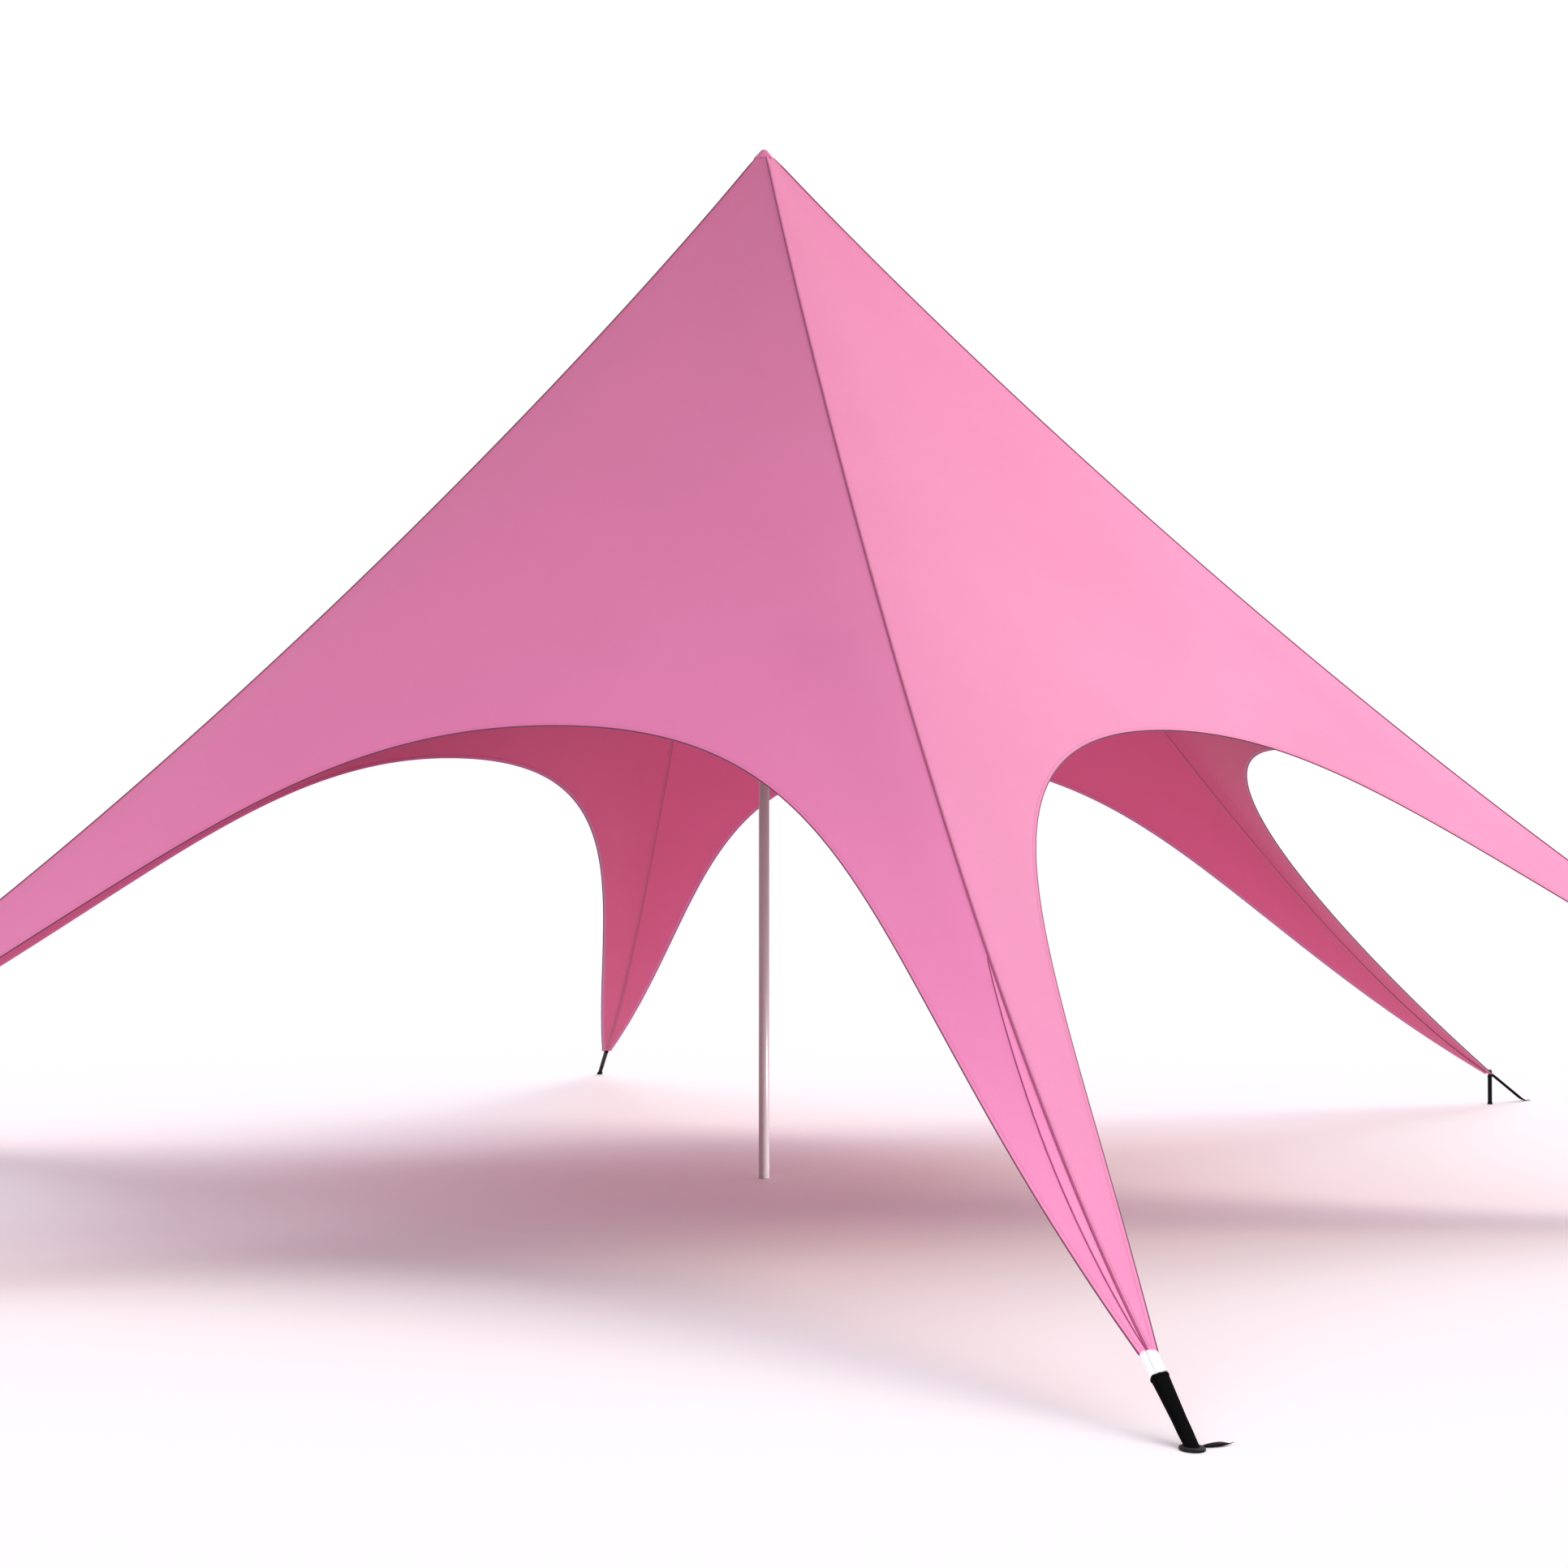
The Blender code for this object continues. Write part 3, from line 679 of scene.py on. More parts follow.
def paint_material():
    """Satin coat on a white tube, its colour darkened to a pinkish grey as painted shade from the canopy:
    fine orange peel, a little paler in scuffs near the foot.
    """
    values = {"Roughness": 0.34, "Coat Weight": 0.25, "Coat Roughness": 0.2}
    look = Shading("mast_paint_painted_shade", MAST_PAINTED_SHADE_COLOUR, values)
    peel = look.noise(420.0, 2.0, 0.5)
    scuffs = look.noise(38.0, 5.0, 0.65, (1.0, 1.0, 0.12))
    low = look.spread(look.coordinate(2), 1.0, 0.15, 0.0, 0.8)
    worn = look.maths("MULTIPLY", look.spread(scuffs, 0.0, 0.8, 0.52, 0.70), low)
    # The grey base is painted shade; the paler scuffs are wear
    look.shade("Base Color", look.mix(worn, MAST_PAINTED_SHADE_COLOUR, MAST_SCUFF_COLOUR))
    look.shade("Roughness", look.spread(scuffs, 0.28, 0.46))
    look.bump(peel, 0.00012, 0.4)
    return look.material


def vinyl_material():
    """White coated cloth of the arm sleeves, faintly blue, with small crumples darkened as painted shade."""
    look = Shading("sleeve_white_vinyl", SLEEVE_COLOUR, {"Roughness": 0.42})
    crumple = look.noise(85.0, 3.0, 0.6)
    weave = look.maths("MULTIPLY", look.bands(0.0011, "X", "Object"), look.bands(0.0011, "Z", "Object"))
    # Painted shade: the sleeve darkens to grey-blue at its crumples
    folds = look.spread(crumple, 0.0, 0.55, 0.48, 0.75)
    look.shade("Base Color", look.mix(folds, SLEEVE_COLOUR, SLEEVE_CREASE_SHADE_COLOUR))
    look.shade("Roughness", look.spread(crumple, 0.34, 0.52))
    look.bump(look.maths("ADD", crumple, look.maths("MULTIPLY", weave, 0.12)), 0.0016, 0.5)
    return look.material


def webbing_material(name, period, axis):
    """Black woven webbing: crossing ribs, dusty high spots."""
    look = Shading(name, WEBBING_COLOUR, {"Roughness": 0.72, "Specular IOR Level": 0.012})
    ribs = look.bands(period, axis, "Object")
    twill = look.bands(period * 1.4, "DIAGONAL", "Object")
    weave = look.maths("MULTIPLY", ribs, twill)
    dust = look.noise(30.0, 4.0, 0.6)
    tone = look.mix(look.spread(weave, 0.0, 0.45), WEBBING_COLOUR, raised(WEBBING_COLOUR, 0.0016))
    look.shade("Base Color", look.mix(look.spread(dust, 0.0, 0.3, 0.55, 0.85), tone, DUST_COLOUR))
    look.shade("Roughness", look.spread(dust, 0.62, 0.85))
    look.bump(weave, 0.0005, 0.7)
    return look.material


def plastic_material(name, colour, roughness):
    """Black moulded or forged part: fine grain, rubbed spots."""
    look = Shading(name, colour, {"Roughness": roughness, "Specular IOR Level": 0.08})
    grain = look.noise(650.0, 2.0, 0.5)
    rubs = look.noise(45.0, 5.0, 0.6)
    look.shade("Base Color", look.mix(look.spread(rubs, 0.0, 0.6, 0.55, 0.8), colour, raised(colour, 0.006)))
    look.shade("Roughness", look.spread(rubs, roughness - 0.1, roughness + 0.14))
    look.bump(look.maths("ADD", grain, look.maths("MULTIPLY", rubs, 1.5)), 0.0003, 0.5)
    return look.material


# Camera, floor and light

def camera_directions():
    ahead = -outward(CAMERA_AZIMUTH)
    right = np.array([ahead[1], -ahead[0], 0.0])
    level = ahead * math.cos(CAMERA_TURN) + right * math.sin(CAMERA_TURN)
    right = right * math.cos(CAMERA_TURN) - ahead * math.sin(CAMERA_TURN)
    forward = level * math.cos(CAMERA_PITCH) + UP * math.sin(CAMERA_PITCH)
    return right, np.cross(right, forward), forward


def add_camera():
    camera = bpy.data.cameras.new("camera")
    camera.lens = CAMERA_LENS
    camera.sensor_width = SENSOR_WIDTH
    camera.sensor_fit = "HORIZONTAL"
    camera.clip_end = CLIP_END
    right, up, forward = camera_directions()
    item = link(bpy.data.objects.new("camera", camera))
    spot = outward(CAMERA_AZIMUTH) * CAMERA_DISTANCE + CAMERA_HEIGHT * UP
    axes = Matrix([list(right), list(up), list(-forward)]).transposed().to_4x4()
    item.matrix_world = Matrix.Translation(Vector(spot)) @ axes
    bpy.context.scene.camera = item


def add_floor():
    mesh = bpy.data.meshes.new("floor")
    half = FLOOR_SIZE / 2
    corners = [(-half, -half, 0.0), (half, -half, 0.0), (half, half, 0.0), (-half, half, 0.0)]
    mesh.from_pydata(corners, [], [(0, 1, 2, 3)])
    look = Shading("floor_white", FLOOR_COLOUR, {"Roughness": 0.9, "Specular IOR Level": 0.1})
    mesh.materials.append(look.material)
    floor = link(bpy.data.objects.new("floor", mesh))
    floor.location.z = -FLOOR_DROP
    return floor


def add_lamp(name, kind, power, colour, spot, back):
    """Lamp at a spot, its back turned the given way."""
    lamp = bpy.data.lights.new(name, kind)
    lamp.energy = power
    lamp.color = colour
    item = link(bpy.data.objects.new(name, lamp))
    item.location = spot
    item.rotation_euler = back.to_track_quat("Z", "Y").to_euler()
    return lamp, item


def add_sun(name, azimuth, elevation, strength, softness, colour):
    """Broad soft light from far away."""
    rise = math.radians(elevation)
    back = Vector(outward(math.radians(azimuth)) * math.cos(rise) + math.sin(rise) * UP)
    sun, _ = add_lamp(name, "SUN", strength, colour, back * SUN_DISTANCE, back)
    sun.angle = math.radians(softness)


def add_panel(name, spot, target, size, power, colour, receivers):
    """Round soft panel that lights only what its receivers allow, and isn't seen itself."""
    panel, item = add_lamp(name, "AREA", power, colour, spot, Vector(spot) - Vector(target))
    panel.shape = "DISK"
    panel.size = size
    item.light_linking.receiver_collection = receivers
    item.visible_camera = False


def light_group(name, items, state):
    """Collection that a panel lights only, or leaves out."""
    group = bpy.data.collections.new(name)
    for item in items:
        group.objects.link(item)
    for member in group.collection_objects:
        member.light_linking.link_state = state
    return group


def add_surround():
    """Bright all round at the horizon and dimmer overhead."""
    world = bpy.data.worlds.new("surround")
    bpy.context.scene.world = world
    world.use_nodes = True
    tree = world.node_tree
    place = add_node(tree, "ShaderNodeTexCoord", {})
    split = add_node(tree, "ShaderNodeSeparateXYZ", {0: place.outputs["Generated"]})
    sockets = {"Value": split.outputs[2], "From Min": math.sin(HORIZON_UP_TO),
               "From Max": math.sin(ZENITH_FROM)}
    rise = add_node(tree, "ShaderNodeMapRange", sockets, interpolation_type="SMOOTHSTEP")
    sockets = {0: rise.outputs["Result"], 6: HORIZON_COLOUR, 7: ZENITH_COLOUR}
    tint = add_node(tree, "ShaderNodeMix", sockets, data_type="RGBA")
    feed(tree, tint.outputs[2], tree.nodes["Background"].inputs["Color"])


def add_light(floor, mast):
    """Soft suns from behind and from the right, panels on the cloth and one on the mast's foot."""
    for settings in SUNS:
        add_sun(*settings)
    spared = light_group("spared_by_panels", [floor, mast], "EXCLUDE")
    for settings in PANELS:
        add_panel(*settings, spared)
    add_panel(*MAST_PANEL, light_group("lit_by_mast_panel", [mast], "INCLUDE"))
    add_surround()
    settings = bpy.context.scene.view_settings
    settings.view_transform = "Standard"
    settings.look = "None"
    settings.exposure = 0.0
    settings.gamma = 1.0


# Seams, pleats, hems and the peak

def panel_slope(surface, radii):
    """How steeply the cloth falls away across a ridge, at each distance from the mast, evened out."""
    slopes = []
    for radius in radii:
        spot = Vector((SLOPE_REACH, -float(radius), 10.0))
        hit = surface.ray_cast(spot, Vector((0.0, 0.0, -1.0)))[0]
        if hit is not None:
            slopes.append((float(ridge_height(radius)) - hit.z) / SLOPE_REACH)
        else:
            slopes.append(slopes[-1] if slopes else 0.5)
    return np.convolve(np.pad(slopes, 3, mode="edge"), np.ones(7) / 7.0, mode="valid")


def make_ridge_seams(surface, cord_and_crease_shade, cloth):
    """Corded seam along each ridge, with the turned-down seam edge beside it."""
    radii = np.concatenate([[0.046, 0.054, 0.064, 0.076], np.linspace(0.090, TIP_RADIUS - 0.006, 149)])
    rise = np.clip((radii[:, None] - SEAM_START) / SEAM_RISE_LENGTH, SEAM_LEAST_RISE, 1.0)
    taper = np.hstack([np.ones_like(rise), rise])[:, None]
    points, _, across, up = ridge_line(radii, CORD_LIFT * rise)
    cord = sweep(points, across, up, oval(CORD_HALF_WIDTH, CORD_HALF_HEIGHT, 10) * taper)
    seams = mesh_piece("ridge_seams", on_every_arm(cord), cord_and_crease_shade,
                       replaces=[f"ridge_seam_{arm}" for arm in ARMS])
    points, along, across, up = ridge_line(radii, 0.0)
    lean = unit(across - up * panel_slope(surface, radii)[:, None])
    off = unit(np.cross(lean, along))
    off *= np.sign(off[:, 2:])
    fold = sweep(points, lean, off, np.array(SEAM_FOLD) * taper)
    folds = mesh_piece("seam_folds", on_every_arm(fold), cloth, sharp=50)
    return seams, folds


def make_inner_seams(tape):
    """Narrow tape over the joint on the cloth's inside."""
    radii = np.linspace(0.08, TIP_RADIUS - 0.03, 120)
    points, _, across, up = ridge_line(radii, -0.0048)
    band = sweep(points, across, up, oval(0.0065, 0.0012, 8))
    return mesh_piece("inner_seam_tapes", on_every_arm(band), tape)


def make_ridge_stitches(surface, thread):
    """Two rows of stitches through the turned seam edge beside every ridge."""
    points, _, across, _ = ridge_line(np.linspace(0.075, TIP_RADIUS - 0.02, 400), 0.0)
    rows = []
    for offset in RIDGE_STITCH_OFFSETS:
        spots, up = on_cloth(surface, resample(points + across * offset, STITCH_STEP), RIDGE_STITCH_LIFT)
        rows.append(stitch_row(spots, up, 0.0016))
    return mesh_piece("ridge_stitches", on_every_arm(join_parts(rows)), thread)


def pleat_width(radii):
    """Width of the tension pleat beside the ridge seam, nothing at both ends."""
    share = np.clip((radii - PLEAT_START) / (PLEAT_END - PLEAT_START), 0.0, 1.0)
    return PLEAT_WIDTH * np.sin(math.pi * share) ** 0.75


def make_tension_pleats(surface, cloth, crease):
    """The narrow pleat that runs beside each ridge seam down to the arm's end, and a thin dark cord along its
    crease that is painted shade.
    """
    radii = np.linspace(PLEAT_START + 0.02, PLEAT_END - 0.005, 90)
    points, _, across, _ = ridge_line(radii, 0.0)
    width = pleat_width(radii)
    ramp = np.minimum(1.0, width / PLEAT_RAMP)[:, None]
    rows = []
    # share of the pleat's width, height over the cloth
    for share, lift in ((0.0, 0.0002), (0.3, 0.0012), (0.65, 0.0026), (0.94, 0.0036), (1.0, 0.0002)):
        spots, normals = on_cloth(surface, points - across * (width * share)[:, None], 0.0)
        rows.append(spots + normals * lift * ramp)
    for share in (1.0, 0.0):
        spots, _ = on_cloth(surface, points - across * (width * share)[:, None], -0.0012)
        rows.append(spots)
    pleat = rings_part(np.stack(rows, axis=1))
    pleats = mesh_piece("tension_pleats", on_every_arm(pleat), cloth, sharp=60)
    # Painted shade: a thin dark cord laid along the pleat's crease
    line, up = on_cloth(surface, points - across * (width + 0.0012)[:, None], 0.0004)
    along = unit(np.gradient(line, axis=0))
    cord = sweep(line, unit(np.cross(along, up)), up, oval(0.0017, 0.0013, 6))
    crease_shade_lines = mesh_piece("pleat_crease_shade_lines", on_every_arm(cord), crease)
    return pleats, crease_shade_lines


def edge_frames(panel):
    """Arm 1's free edge from corner to corner at fine steps, with directions inward and up."""
    edge = panel[-1]
    along = unit(np.gradient(edge, axis=0))
    toward = panel[-3] - panel[-1]
    inward = unit(toward - np.sum(toward * along, axis=1, keepdims=True) * along)
    up = unit(np.cross(along, inward))
    up *= np.sign(up[:, 2:])
    edge, inward, up = (halve_steps(halve_steps(line[TIP_CELLS:-TIP_CELLS])) for line in (edge, inward, up))
    return edge, unit(inward), unit(up)


def make_hems(panel, cloth, shade_binding, thread):
    """Turned hem along each arch, a dark binding tucked under it as painted shade of its underside, and its
    stitches.
    """
    edge, inward, up = edge_frames(panel)
    hem = sweep(edge, inward, up, HEM_FOLD)
    # Painted shade: a dark cord under the hem's edge stands for the shade on its underside
    bound = sweep(edge - inward * 0.0006 - up * 0.0014, inward, up, oval(0.0025, 0.0025, 8))
    hems = mesh_piece("arch_hems", on_every_arm(hem), cloth, sharp=70)
    bindings = mesh_piece("arch_shade_bindings", on_every_arm(bound), shade_binding)
    line = edge + inward * HEM_STITCH_OFFSET
    row = resample(line + up * 0.0006, STITCH_STEP)
    above = resample(line + up * 0.0106, STITCH_STEP)
    count = min(len(row), len(above))
    row, above = row[:count], above[:count]
    stitches = stitch_row(row, unit(above - row), 0.0014)
    rows = mesh_piece("hem_stitches", on_every_arm(stitches), thread)
    return hems, bindings, rows


def make_arm_end_hems(cloth):
    """Narrow turned hem across the cut end of each arm."""
    across = np.linspace(-ARM_END_HALF_WIDTH, ARM_END_HALF_WIDTH, 15)
    heights = TIP_HEIGHT + 0.0022 - 0.0035 * (across / ARM_END_HALF_WIDTH) ** 2
    points = np.column_stack([across, np.full_like(across, -TIP_RADIUS + 0.004), heights])
    up = np.repeat(np.array([[0.0, -0.30, 0.95]]), len(across), axis=0)
    inward = np.repeat(np.array([[0.0, 0.95, 0.30]]), len(across), axis=0)
    hem = sweep(points, inward, up, oval(0.0075, 0.0026, 10))
    return mesh_piece("arm_end_hems", on_every_arm(hem), cloth)


def make_peak_cap(cloth):
    """Cap with a small round flat top, six-sided at its rolled rim, close on the cloth."""
    # radius, height
    profile = ((CAP_TOP_RADIUS * 0.84, CAP_TOP_HEIGHT), (CAP_TOP_RADIUS, CAP_TOP_HEIGHT - 0.0010),
               (CAP_TOP_RADIUS * 1.12, CAP_TOP_HEIGHT - 0.0026), (0.0280, 4.4708),
               (CAP_RADIUS - 0.0015, 4.4502), (CAP_RADIUS - 0.0003, 4.4487), (CAP_RADIUS, 4.4480),
               (CAP_RADIUS - 0.0003, 4.4474), (CAP_RADIUS - 0.0080, 4.4470))
    sides = 48
    turn = full_turn(sides)
    to_middle = np.abs((turn % (2 * HALF_SECTOR)) - HALF_SECTOR)
    hexagon = math.cos(HALF_SECTOR) / np.cos(HALF_SECTOR - to_middle)
    points = [(0.0, 0.0, CAP_TOP_HEIGHT)]
    for radius, height in profile:
        share = radius / CAP_RADIUS
        ring = radius * ((1.0 - share) + share * hexagon)
        points += list(zip(ring * np.sin(turn), -ring * np.cos(turn), np.full(sides, height)))
    shell = ring_faces(len(profile), sides)[1:]
    faces = [tuple(corner + 1 for corner in face) for face in shell]
    faces += [(0, 1 + side, 1 + (side + 1) % sides) for side in range(sides)]
    return mesh_piece("peak_cap_sewn", (points, faces), cloth, sharp=35,
                      replaces=["peak_cap"])


def make_mast(paint):
    """Two tubes, the upper one a slip fit in the lower, with rounded rims."""
    joint = 2.25
    upper_radius = MAST_RADIUS - 0.0016
    profile = ((0.0, 0.0), (MAST_RADIUS - 0.004, 0.0), (MAST_RADIUS - 0.0012, 0.0004), (MAST_RADIUS, 0.0022),
               (MAST_RADIUS, joint - 0.003), (MAST_RADIUS - 0.0004, joint - 0.001),
               (MAST_RADIUS - 0.0014, joint), (upper_radius, joint + 0.001),
               (upper_radius, MAST_TOP - 0.0025), (MAST_RADIUS - 0.004, MAST_TOP), (0.0, MAST_TOP))
    return mesh_piece("mast_tube", lathe(profile, 64), paint, sharp=40, replaces=["mast"])


# Arm ends

def arm_piece(arm, name, node, part, material, sharp):
    """Piece of one arm's end, from a part made along, across and up the arm."""
    points, faces = part
    mesh_piece(f"{name}_{arm}", (points @ arm_axes(arm), faces), material, sharp, [f"{node}_{arm}"])


def leg_direction():
    run = FOOT_RADIUS - TIP_RADIUS
    length = math.hypot(run, TIP_HEIGHT)
    return run / length, -TIP_HEIGHT / length


def leg_distance(height):
    """Distance along the leg line at which it comes down to a height."""
    return (TIP_HEIGHT - height) / -leg_direction()[1]


def leg_part(stations):
    """Rings across the leg line.

    A station is (distance, half width, half depth, level share, outline). Its ring lies square to the line
    at level share 0 and flat on the ground at 1. An outline's third column shifts it along the line.
    """
    along, down = leg_direction()
    line = np.array([along, 0.0, down])
    square = np.array([-down, 0.0, along])
    flat = np.array([1.0, 0.0, 0.0]) / -down
    centre = np.array([TIP_RADIUS, 0.0, TIP_HEIGHT])
    rings = []
    for distance, half_width, half_depth, level, outline in stations:
        shift = outline[:, 2] if outline.shape[1] > 2 else np.zeros(len(outline))
        depth_axis = square * (1.0 - level) + flat * level
        rings.append(centre + (distance + shift)[:, None] * line
                     + half_width * outline[:, :1] * np.array([0.0, 1.0, 0.0])
                     + half_depth * outline[:, 1:2] * depth_axis)
    return rings_part(rings)


def make_sleeve(arm, vinyl):
    """Folded white sleeve: a flattened tube with one lengthwise fold and a slanting lower hem."""
    base = rounded_outline(40, 2.6)
    crease = np.exp(-((base[:, 0] + 0.42) / 0.10) ** 2) * (base[:, 1] > 0)
    ripple = 0.05 * np.sin(7.0 * np.arctan2(base[:, 1], base[:, 0]) + arm)
    # share of the sleeve's length, size
    swells = ((0.0, 0.90), (0.03, 0.98), (0.3, 1.0), (0.62, 0.985),
              (0.86, 1.0), (0.93, 1.05), (0.985, 1.05), (1.0, 0.99))
    stations = []
    for share, swell in swells:
        outline = base * (1.0 + ripple * share * 0.5)[:, None]
        outline[:, 1] -= 0.30 * crease
        slant = -0.0075 * base[:, 0] * share + 0.0012 * np.sin(5.0 * base[:, 0] + 1.3 * arm) * share
        distance = 2 * GAP + (SLEEVE_LENGTH - 0.002) * share
        stations.append((distance, 0.0258 * swell, 0.0148 * swell, 0.0, np.column_stack([outline, slant])))
    arm_piece(arm, "arm_sleeve", "arm_collar", leg_part(stations), vinyl, 45)


def make_tapered_leg(arm, webbing):
    """Black leg with a rough turned lip at its top and flattened sides."""
    base = rounded_outline(40, 2.8)
    top = SLEEVE_LENGTH + GAP
    foot = leg_distance(PLATE_THICKNESS + GAP)
    rough = 0.0016 * np.sin(9.0 * np.arctan2(base[:, 1], base[:, 0]) + 2.0 * arm)
    slant = -0.0072 * base[:, 0] + rough
    # distance from the top, half width, half depth, how much it slants
    lip = ((0.000, 0.0235, 0.0125, 1.0), (0.0015, 0.0262, 0.0145, 1.0), (0.0070, 0.0262, 0.0145, 0.9),
           (0.0100, 0.0247, 0.0130, 0.8), (0.030, 0.0240, 0.0126, 0.4))
    stations = [(top + distance, half_width, half_depth, 0.0, np.column_stack([base, slant * lean]))
                for distance, half_width, half_depth, lean in lip]
    shaft_start, shaft_end = top + 0.055, foot - 0.055
    for share in (0.0, 0.35, 0.7):
        half_width = 0.0232 - 0.0037 * share / 0.7
        stations.append((shaft_start + (shaft_end - shaft_start) * share, half_width, 0.0120, 0.0, base))
    stations += [(foot - 0.05, 0.0195, 0.0112, 0.0, base), (foot - 0.012, 0.0183, 0.0110, 0.75, base),
                 (foot, 0.0180, 0.0110, 1.0, base)]
    arm_piece(arm, "black_leg", "tapered_leg", leg_part(stations), webbing, 50)


def plate_centre():
    along, _ = leg_direction()
    return TIP_RADIUS + along * leg_distance(PLATE_THICKNESS + GAP) + 0.005


def make_foot_plate(arm, metal):
    """Small oval plate, thicker under the leg, with a rounded edge."""
    # size, height
    levels = ((0.94, 0.0), (0.99, 0.0010), (1.0, 0.0028), (0.985, 0.0052), (0.93, 0.0068), (0.80, 0.0078),
              (0.45, PLATE_THICKNESS))
    outline = oval(PLATE_HALF_LENGTH, PLATE_HALF_WIDTH, 48)
    rings = [np.column_stack([outline * size, np.full(48, height)]) for size, height in levels]
    points, faces = rings_part(rings)
    points[:, 0] += plate_centre()
    arm_piece(arm, "foot_base", "foot_plate", (points, faces), metal, 50)


def make_spike(arm, metal):
    """Thorn-shaped peg lying beside the plate: thin neck, full middle, drawn-out point, a slight bow."""
    turn = SPIKE_ANGLE
    heading = np.array([-math.sin(turn), math.cos(turn), 0.0])
    bow = np.array([math.cos(turn), math.sin(turn), 0.0])
    slope = math.atan2(math.sin(turn) * PLATE_HALF_LENGTH, math.cos(turn) * PLATE_HALF_WIDTH)
    rim = np.array([plate_centre() - math.sin(slope) * PLATE_HALF_LENGTH,
                    math.cos(slope) * PLATE_HALF_WIDTH, 0.0])
    share = np.linspace(0.0, 1.0, 22)
    width = 0.0030 + 0.0040 * np.sin(math.pi * np.clip(share * 1.25, 0.0, 1.0)) ** 0.8
    width *= np.clip((1.0 - share) / 0.45, 0.0, 1.0) ** 0.75 * 0.94 + 0.06
    depth = width * 0.80
    path = rim + (GAP + SPIKE_LENGTH * share[:, None]) * heading
    path += (SPIKE_BOW * np.sin(math.pi * share * 0.9))[:, None] * bow
    path[:, 2] = depth + 0.004 * share ** 3
    across, up = path_frames(path)
    profile = rounded_outline(14, 2.2)[None] * np.stack([width, depth], axis=1)[:, None]
    arm_piece(arm, "ground_thorn", "ground_spike", sweep(path, across, up, profile), metal, 60)


def make_slim_leg(arm, plastic):
    """Slim black leg with a sewn head, a straight shaft and a small flared foot."""
    end = leg_distance(0.0)
    flare = leg_distance(0.012)
    neck = leg_distance(0.024)
    # distance, half width, half depth, level share
    rows = ((2 * GAP, 0.0115, 0.0115, 0.0), (0.003, 0.0138, 0.0138, 0.0), (0.024, 0.0140, 0.0140, 0.0),
            (0.028, 0.0128, 0.0128, 0.0), (neck - 0.06, 0.0122, 0.0122, 0.0),
            (neck - 0.02, 0.0118, 0.0112, 0.4), (neck, 0.0116, 0.0094, 1.0),
            (flare - 0.008, 0.0135, 0.0095, 1.0), (flare, 0.0160, 0.0106, 1.0),
            (end - 0.006, 0.0170, 0.0112, 1.0), (end, 0.0162, 0.0106, 1.0))
    base = rounded_outline(32, 2.0)
    part = leg_part([(*row, base) for row in rows])
    arm_piece(arm, "slim_black_leg", "slim_leg", part, plastic, 40)


def make_prop(arm, plastic):
    """Short upright prop: flared rubber foot, straight shaft, collar and round knob."""
    spot = outward(arm_angle(arm)) * (TIP_RADIUS + GAP + PROP_RADIUS)
    profile = ((0.0, 0.0), (0.0132, 0.0), (0.0140, 0.0016), (0.0136, 0.0085), (0.0120, 0.0135),
               (PROP_RADIUS, 0.018), (PROP_RADIUS, 0.148), (0.0128, 0.150), (0.0130, 0.157), (0.0118, 0.160),
               (0.0092, 0.1625), (0.0086, 0.1660), (0.0100, 0.1705), (0.0118, 0.1760), (0.0122, 0.1815),
               (0.0110, 0.1870), (0.0078, 0.1908), (0.0036, 0.1924), (0.0, PROP_TOP))
    mesh_piece(f"short_prop_{arm}", lathe(profile, 40, spot[:2]), plastic, sharp=40,
               replaces=[f"upright_prop_{arm}"])


def strap_path(start, end):
    """The strap's line from the prop's head down to the ground, its two bends eased."""
    corners = np.array([[start, 0.0, 0.1675], [start + 0.020, 0.0, 0.1575], [end - 0.030, 0.0, 0.0175],
                        [end, 0.0, 0.0042], [end + 0.020, 0.0, 0.0015]])
    path = resample(corners, 0.004)
    path[:, 2] = np.convolve(np.pad(path[:, 2], 4, mode="edge"), np.ones(9) / 9.0, mode="valid")
    return np.vstack([corners[:1], path, corners[-1:]])


def make_strap(arm, webbing):
    """Woven strap from the prop's head to the ground, its edges rounded, with a pointed tail."""
    half_width, half_thickness = 0.0148, 0.0014
    end = FOOT_RADIUS - 0.012
    outline = rounded_outline(20, 3.4)
    path = strap_path(TIP_RADIUS + 2 * (GAP + PROP_RADIUS), end)
    across, up = path_frames(path)
    belly = 0.0011 * np.sin(np.linspace(0.0, math.pi, len(path)))
    profile = np.repeat(outline[None] * np.array([half_width, half_thickness]), len(path), axis=0)
    profile[..., 1] += belly[:, None] * (1.0 - outline[:, 0] ** 2)
    strap = sweep(path, across, up, profile)
    arm_piece(arm, "woven_strap", "stay_strap", strap, webbing, 60)
    share = np.linspace(0.0, 1.0, 14)
    width = half_width * (1.0 - share ** 1.6) + 0.0016
    thickness = half_thickness * (1.0 - 0.5 * share)
    reach = np.linspace(end + 0.020 + GAP, end + 0.064, 14)
    path = np.column_stack([reach, np.zeros(14), np.full(14, 0.0015)])
    across, up = path_frames(path)
    path[:, 2] = thickness + 0.0001
    tail = sweep(path, across, up, outline[None] * np.stack([width, thickness], axis=1)[:, None])
    arm_piece(arm, "pointed_tail", "strap_tail", tail, webbing, 60)


# Everything together

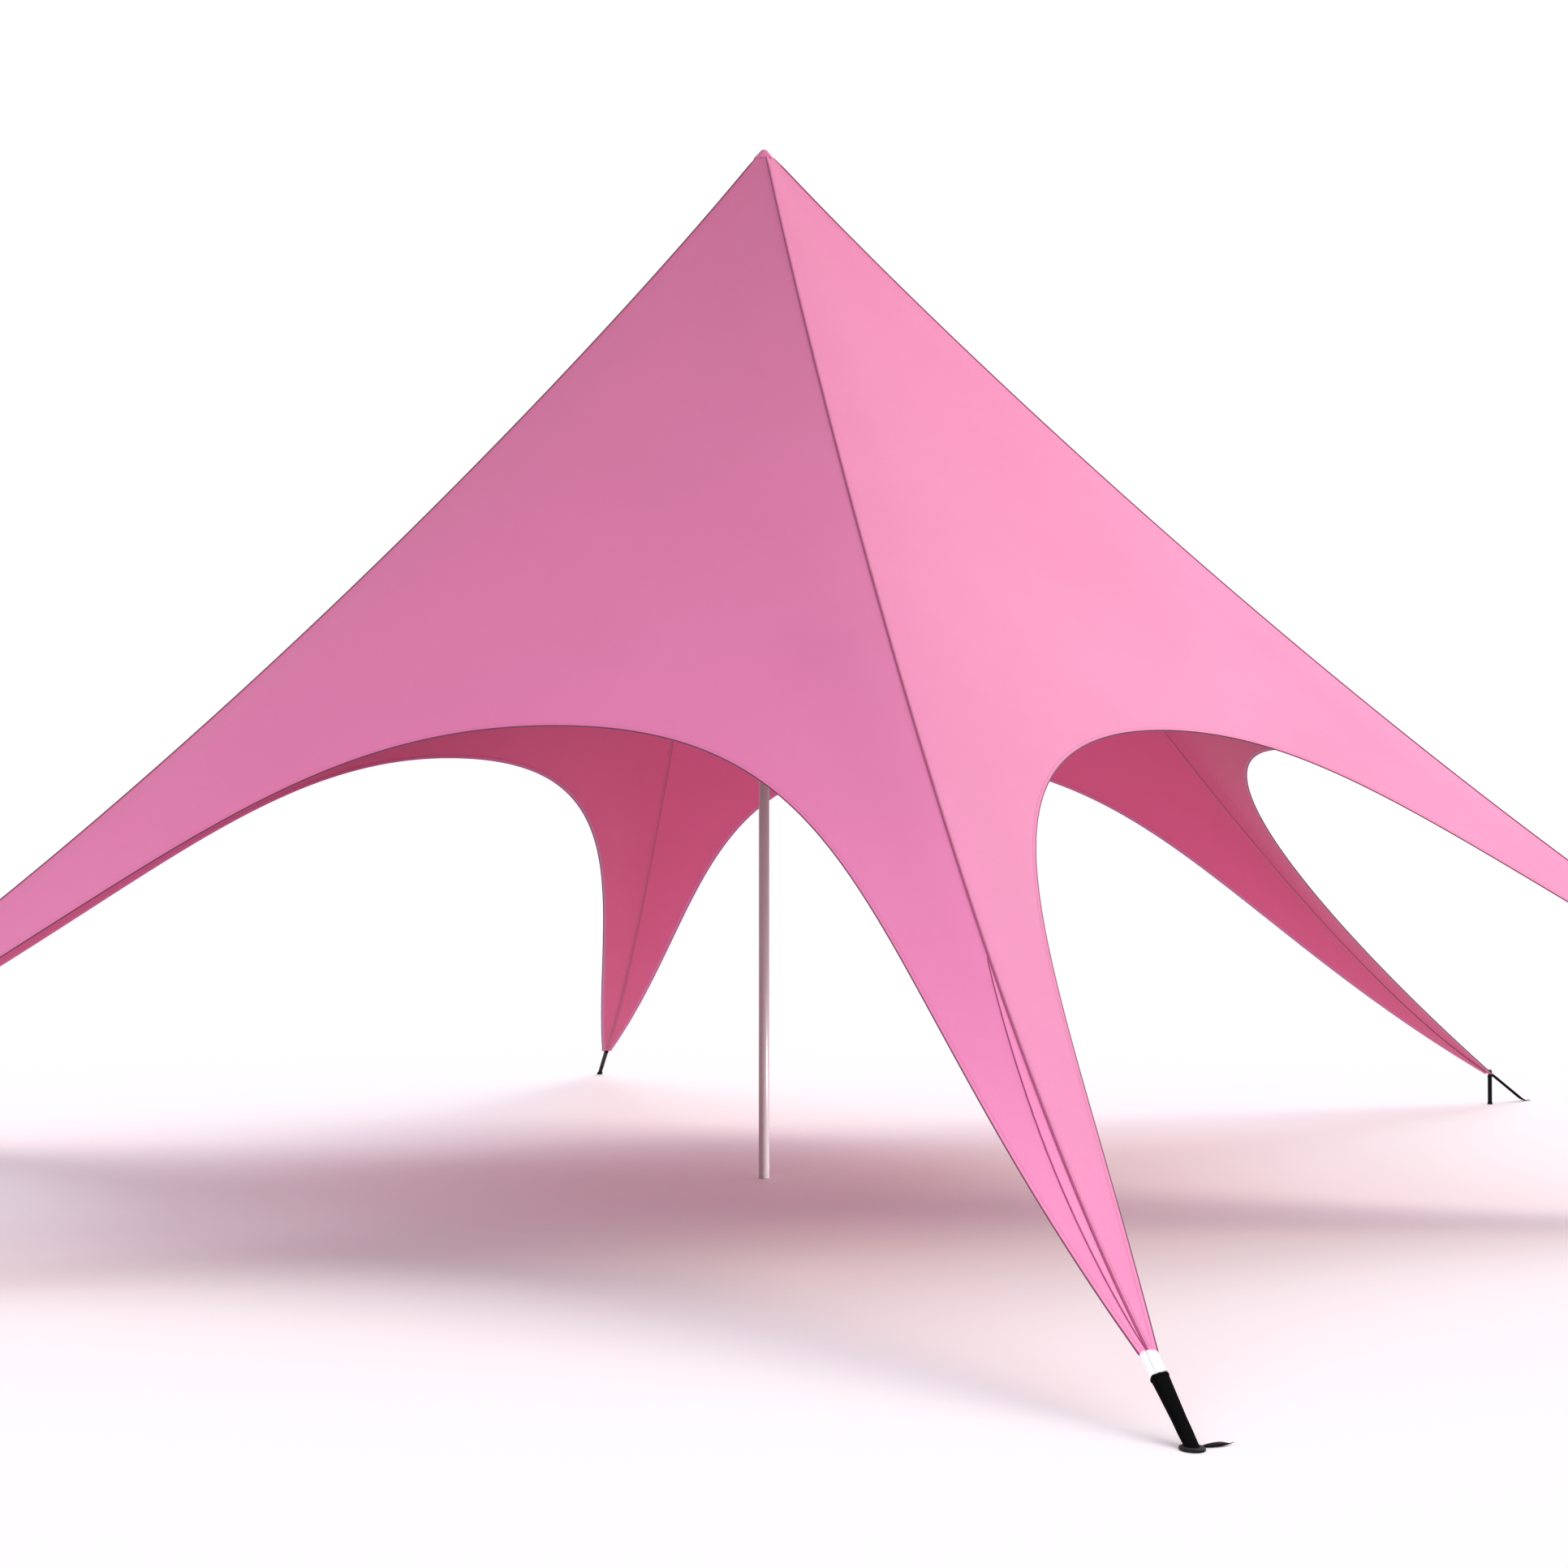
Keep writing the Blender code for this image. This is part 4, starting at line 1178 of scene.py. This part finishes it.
def build_canopy():
    """The sheet and all that is sewn to it."""
    outside = cloth_material("canopy_pink_knit", *OUTSIDE_COLOURS, 0.12)
    inside = cloth_material("canopy_inside_painted_light_knit", *INSIDE_PAINTED_LIGHT_COLOURS, 0.03)
    cord_and_crease_shade = thread_material("seam_rose_cord_and_crease_shade", CORD_AND_CREASE_SHADE_COLOUR)
    shade_binding = thread_material("edge_binding_painted_shade", BINDING_PAINTED_SHADE_COLOUR)
    thread = thread_material("pink_sewing_thread", THREAD_COLOUR)
    tape = thread_material("inner_rose_tape", TAPE_COLOUR)
    panel = relax_heights(cloth_grid(CLOTH_ROWS, CLOTH_HALF, TIP_CELLS), RELAX_ROUNDS)
    panel = round_ridges(straighten_beside_ridges(panel))
    canopy, surface, area = make_canopy(panel, outside, inside)
    sewn = [*make_ridge_seams(surface, cord_and_crease_shade, outside), make_inner_seams(tape)]
    sewn.append(make_ridge_stitches(surface, thread))
    sewn += make_tension_pleats(surface, outside, cord_and_crease_shade)
    sewn += make_hems(panel, outside, shade_binding, thread)
    sewn += [make_arm_end_hems(outside), make_peak_cap(outside)]


def build_arm_ends():
    vinyl = vinyl_material()
    leg_webbing = webbing_material("leg_black_webbing", 0.0022, "Z")
    strap_webbing = webbing_material("strap_black_webbing", 0.0018, "X")
    leg_plastic = plastic_material("leg_black_plastic", PLASTIC_COLOUR, 0.5)
    plate_metal = plastic_material("plate_black_iron", IRON_COLOUR, 0.48)
    for arm in COLLARED_ARMS:
        make_sleeve(arm, vinyl)
        make_tapered_leg(arm, leg_webbing)
        make_foot_plate(arm, plate_metal)
        make_spike(arm, plate_metal)
    make_slim_leg(SLIM_LEG_ARM, leg_plastic)
    make_prop(PROPPED_ARM, leg_plastic)
    make_strap(PROPPED_ARM, strap_webbing)


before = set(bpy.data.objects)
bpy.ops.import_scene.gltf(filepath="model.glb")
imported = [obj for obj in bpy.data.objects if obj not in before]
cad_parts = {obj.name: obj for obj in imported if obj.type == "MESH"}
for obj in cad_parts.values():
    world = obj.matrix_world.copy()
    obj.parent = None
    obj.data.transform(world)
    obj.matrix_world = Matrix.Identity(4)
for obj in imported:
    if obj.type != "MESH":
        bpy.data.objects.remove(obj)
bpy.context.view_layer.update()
add_camera()
mast_tube = make_mast(paint_material())
add_light(add_floor(), mast_tube)
build_canopy()
build_arm_ends()
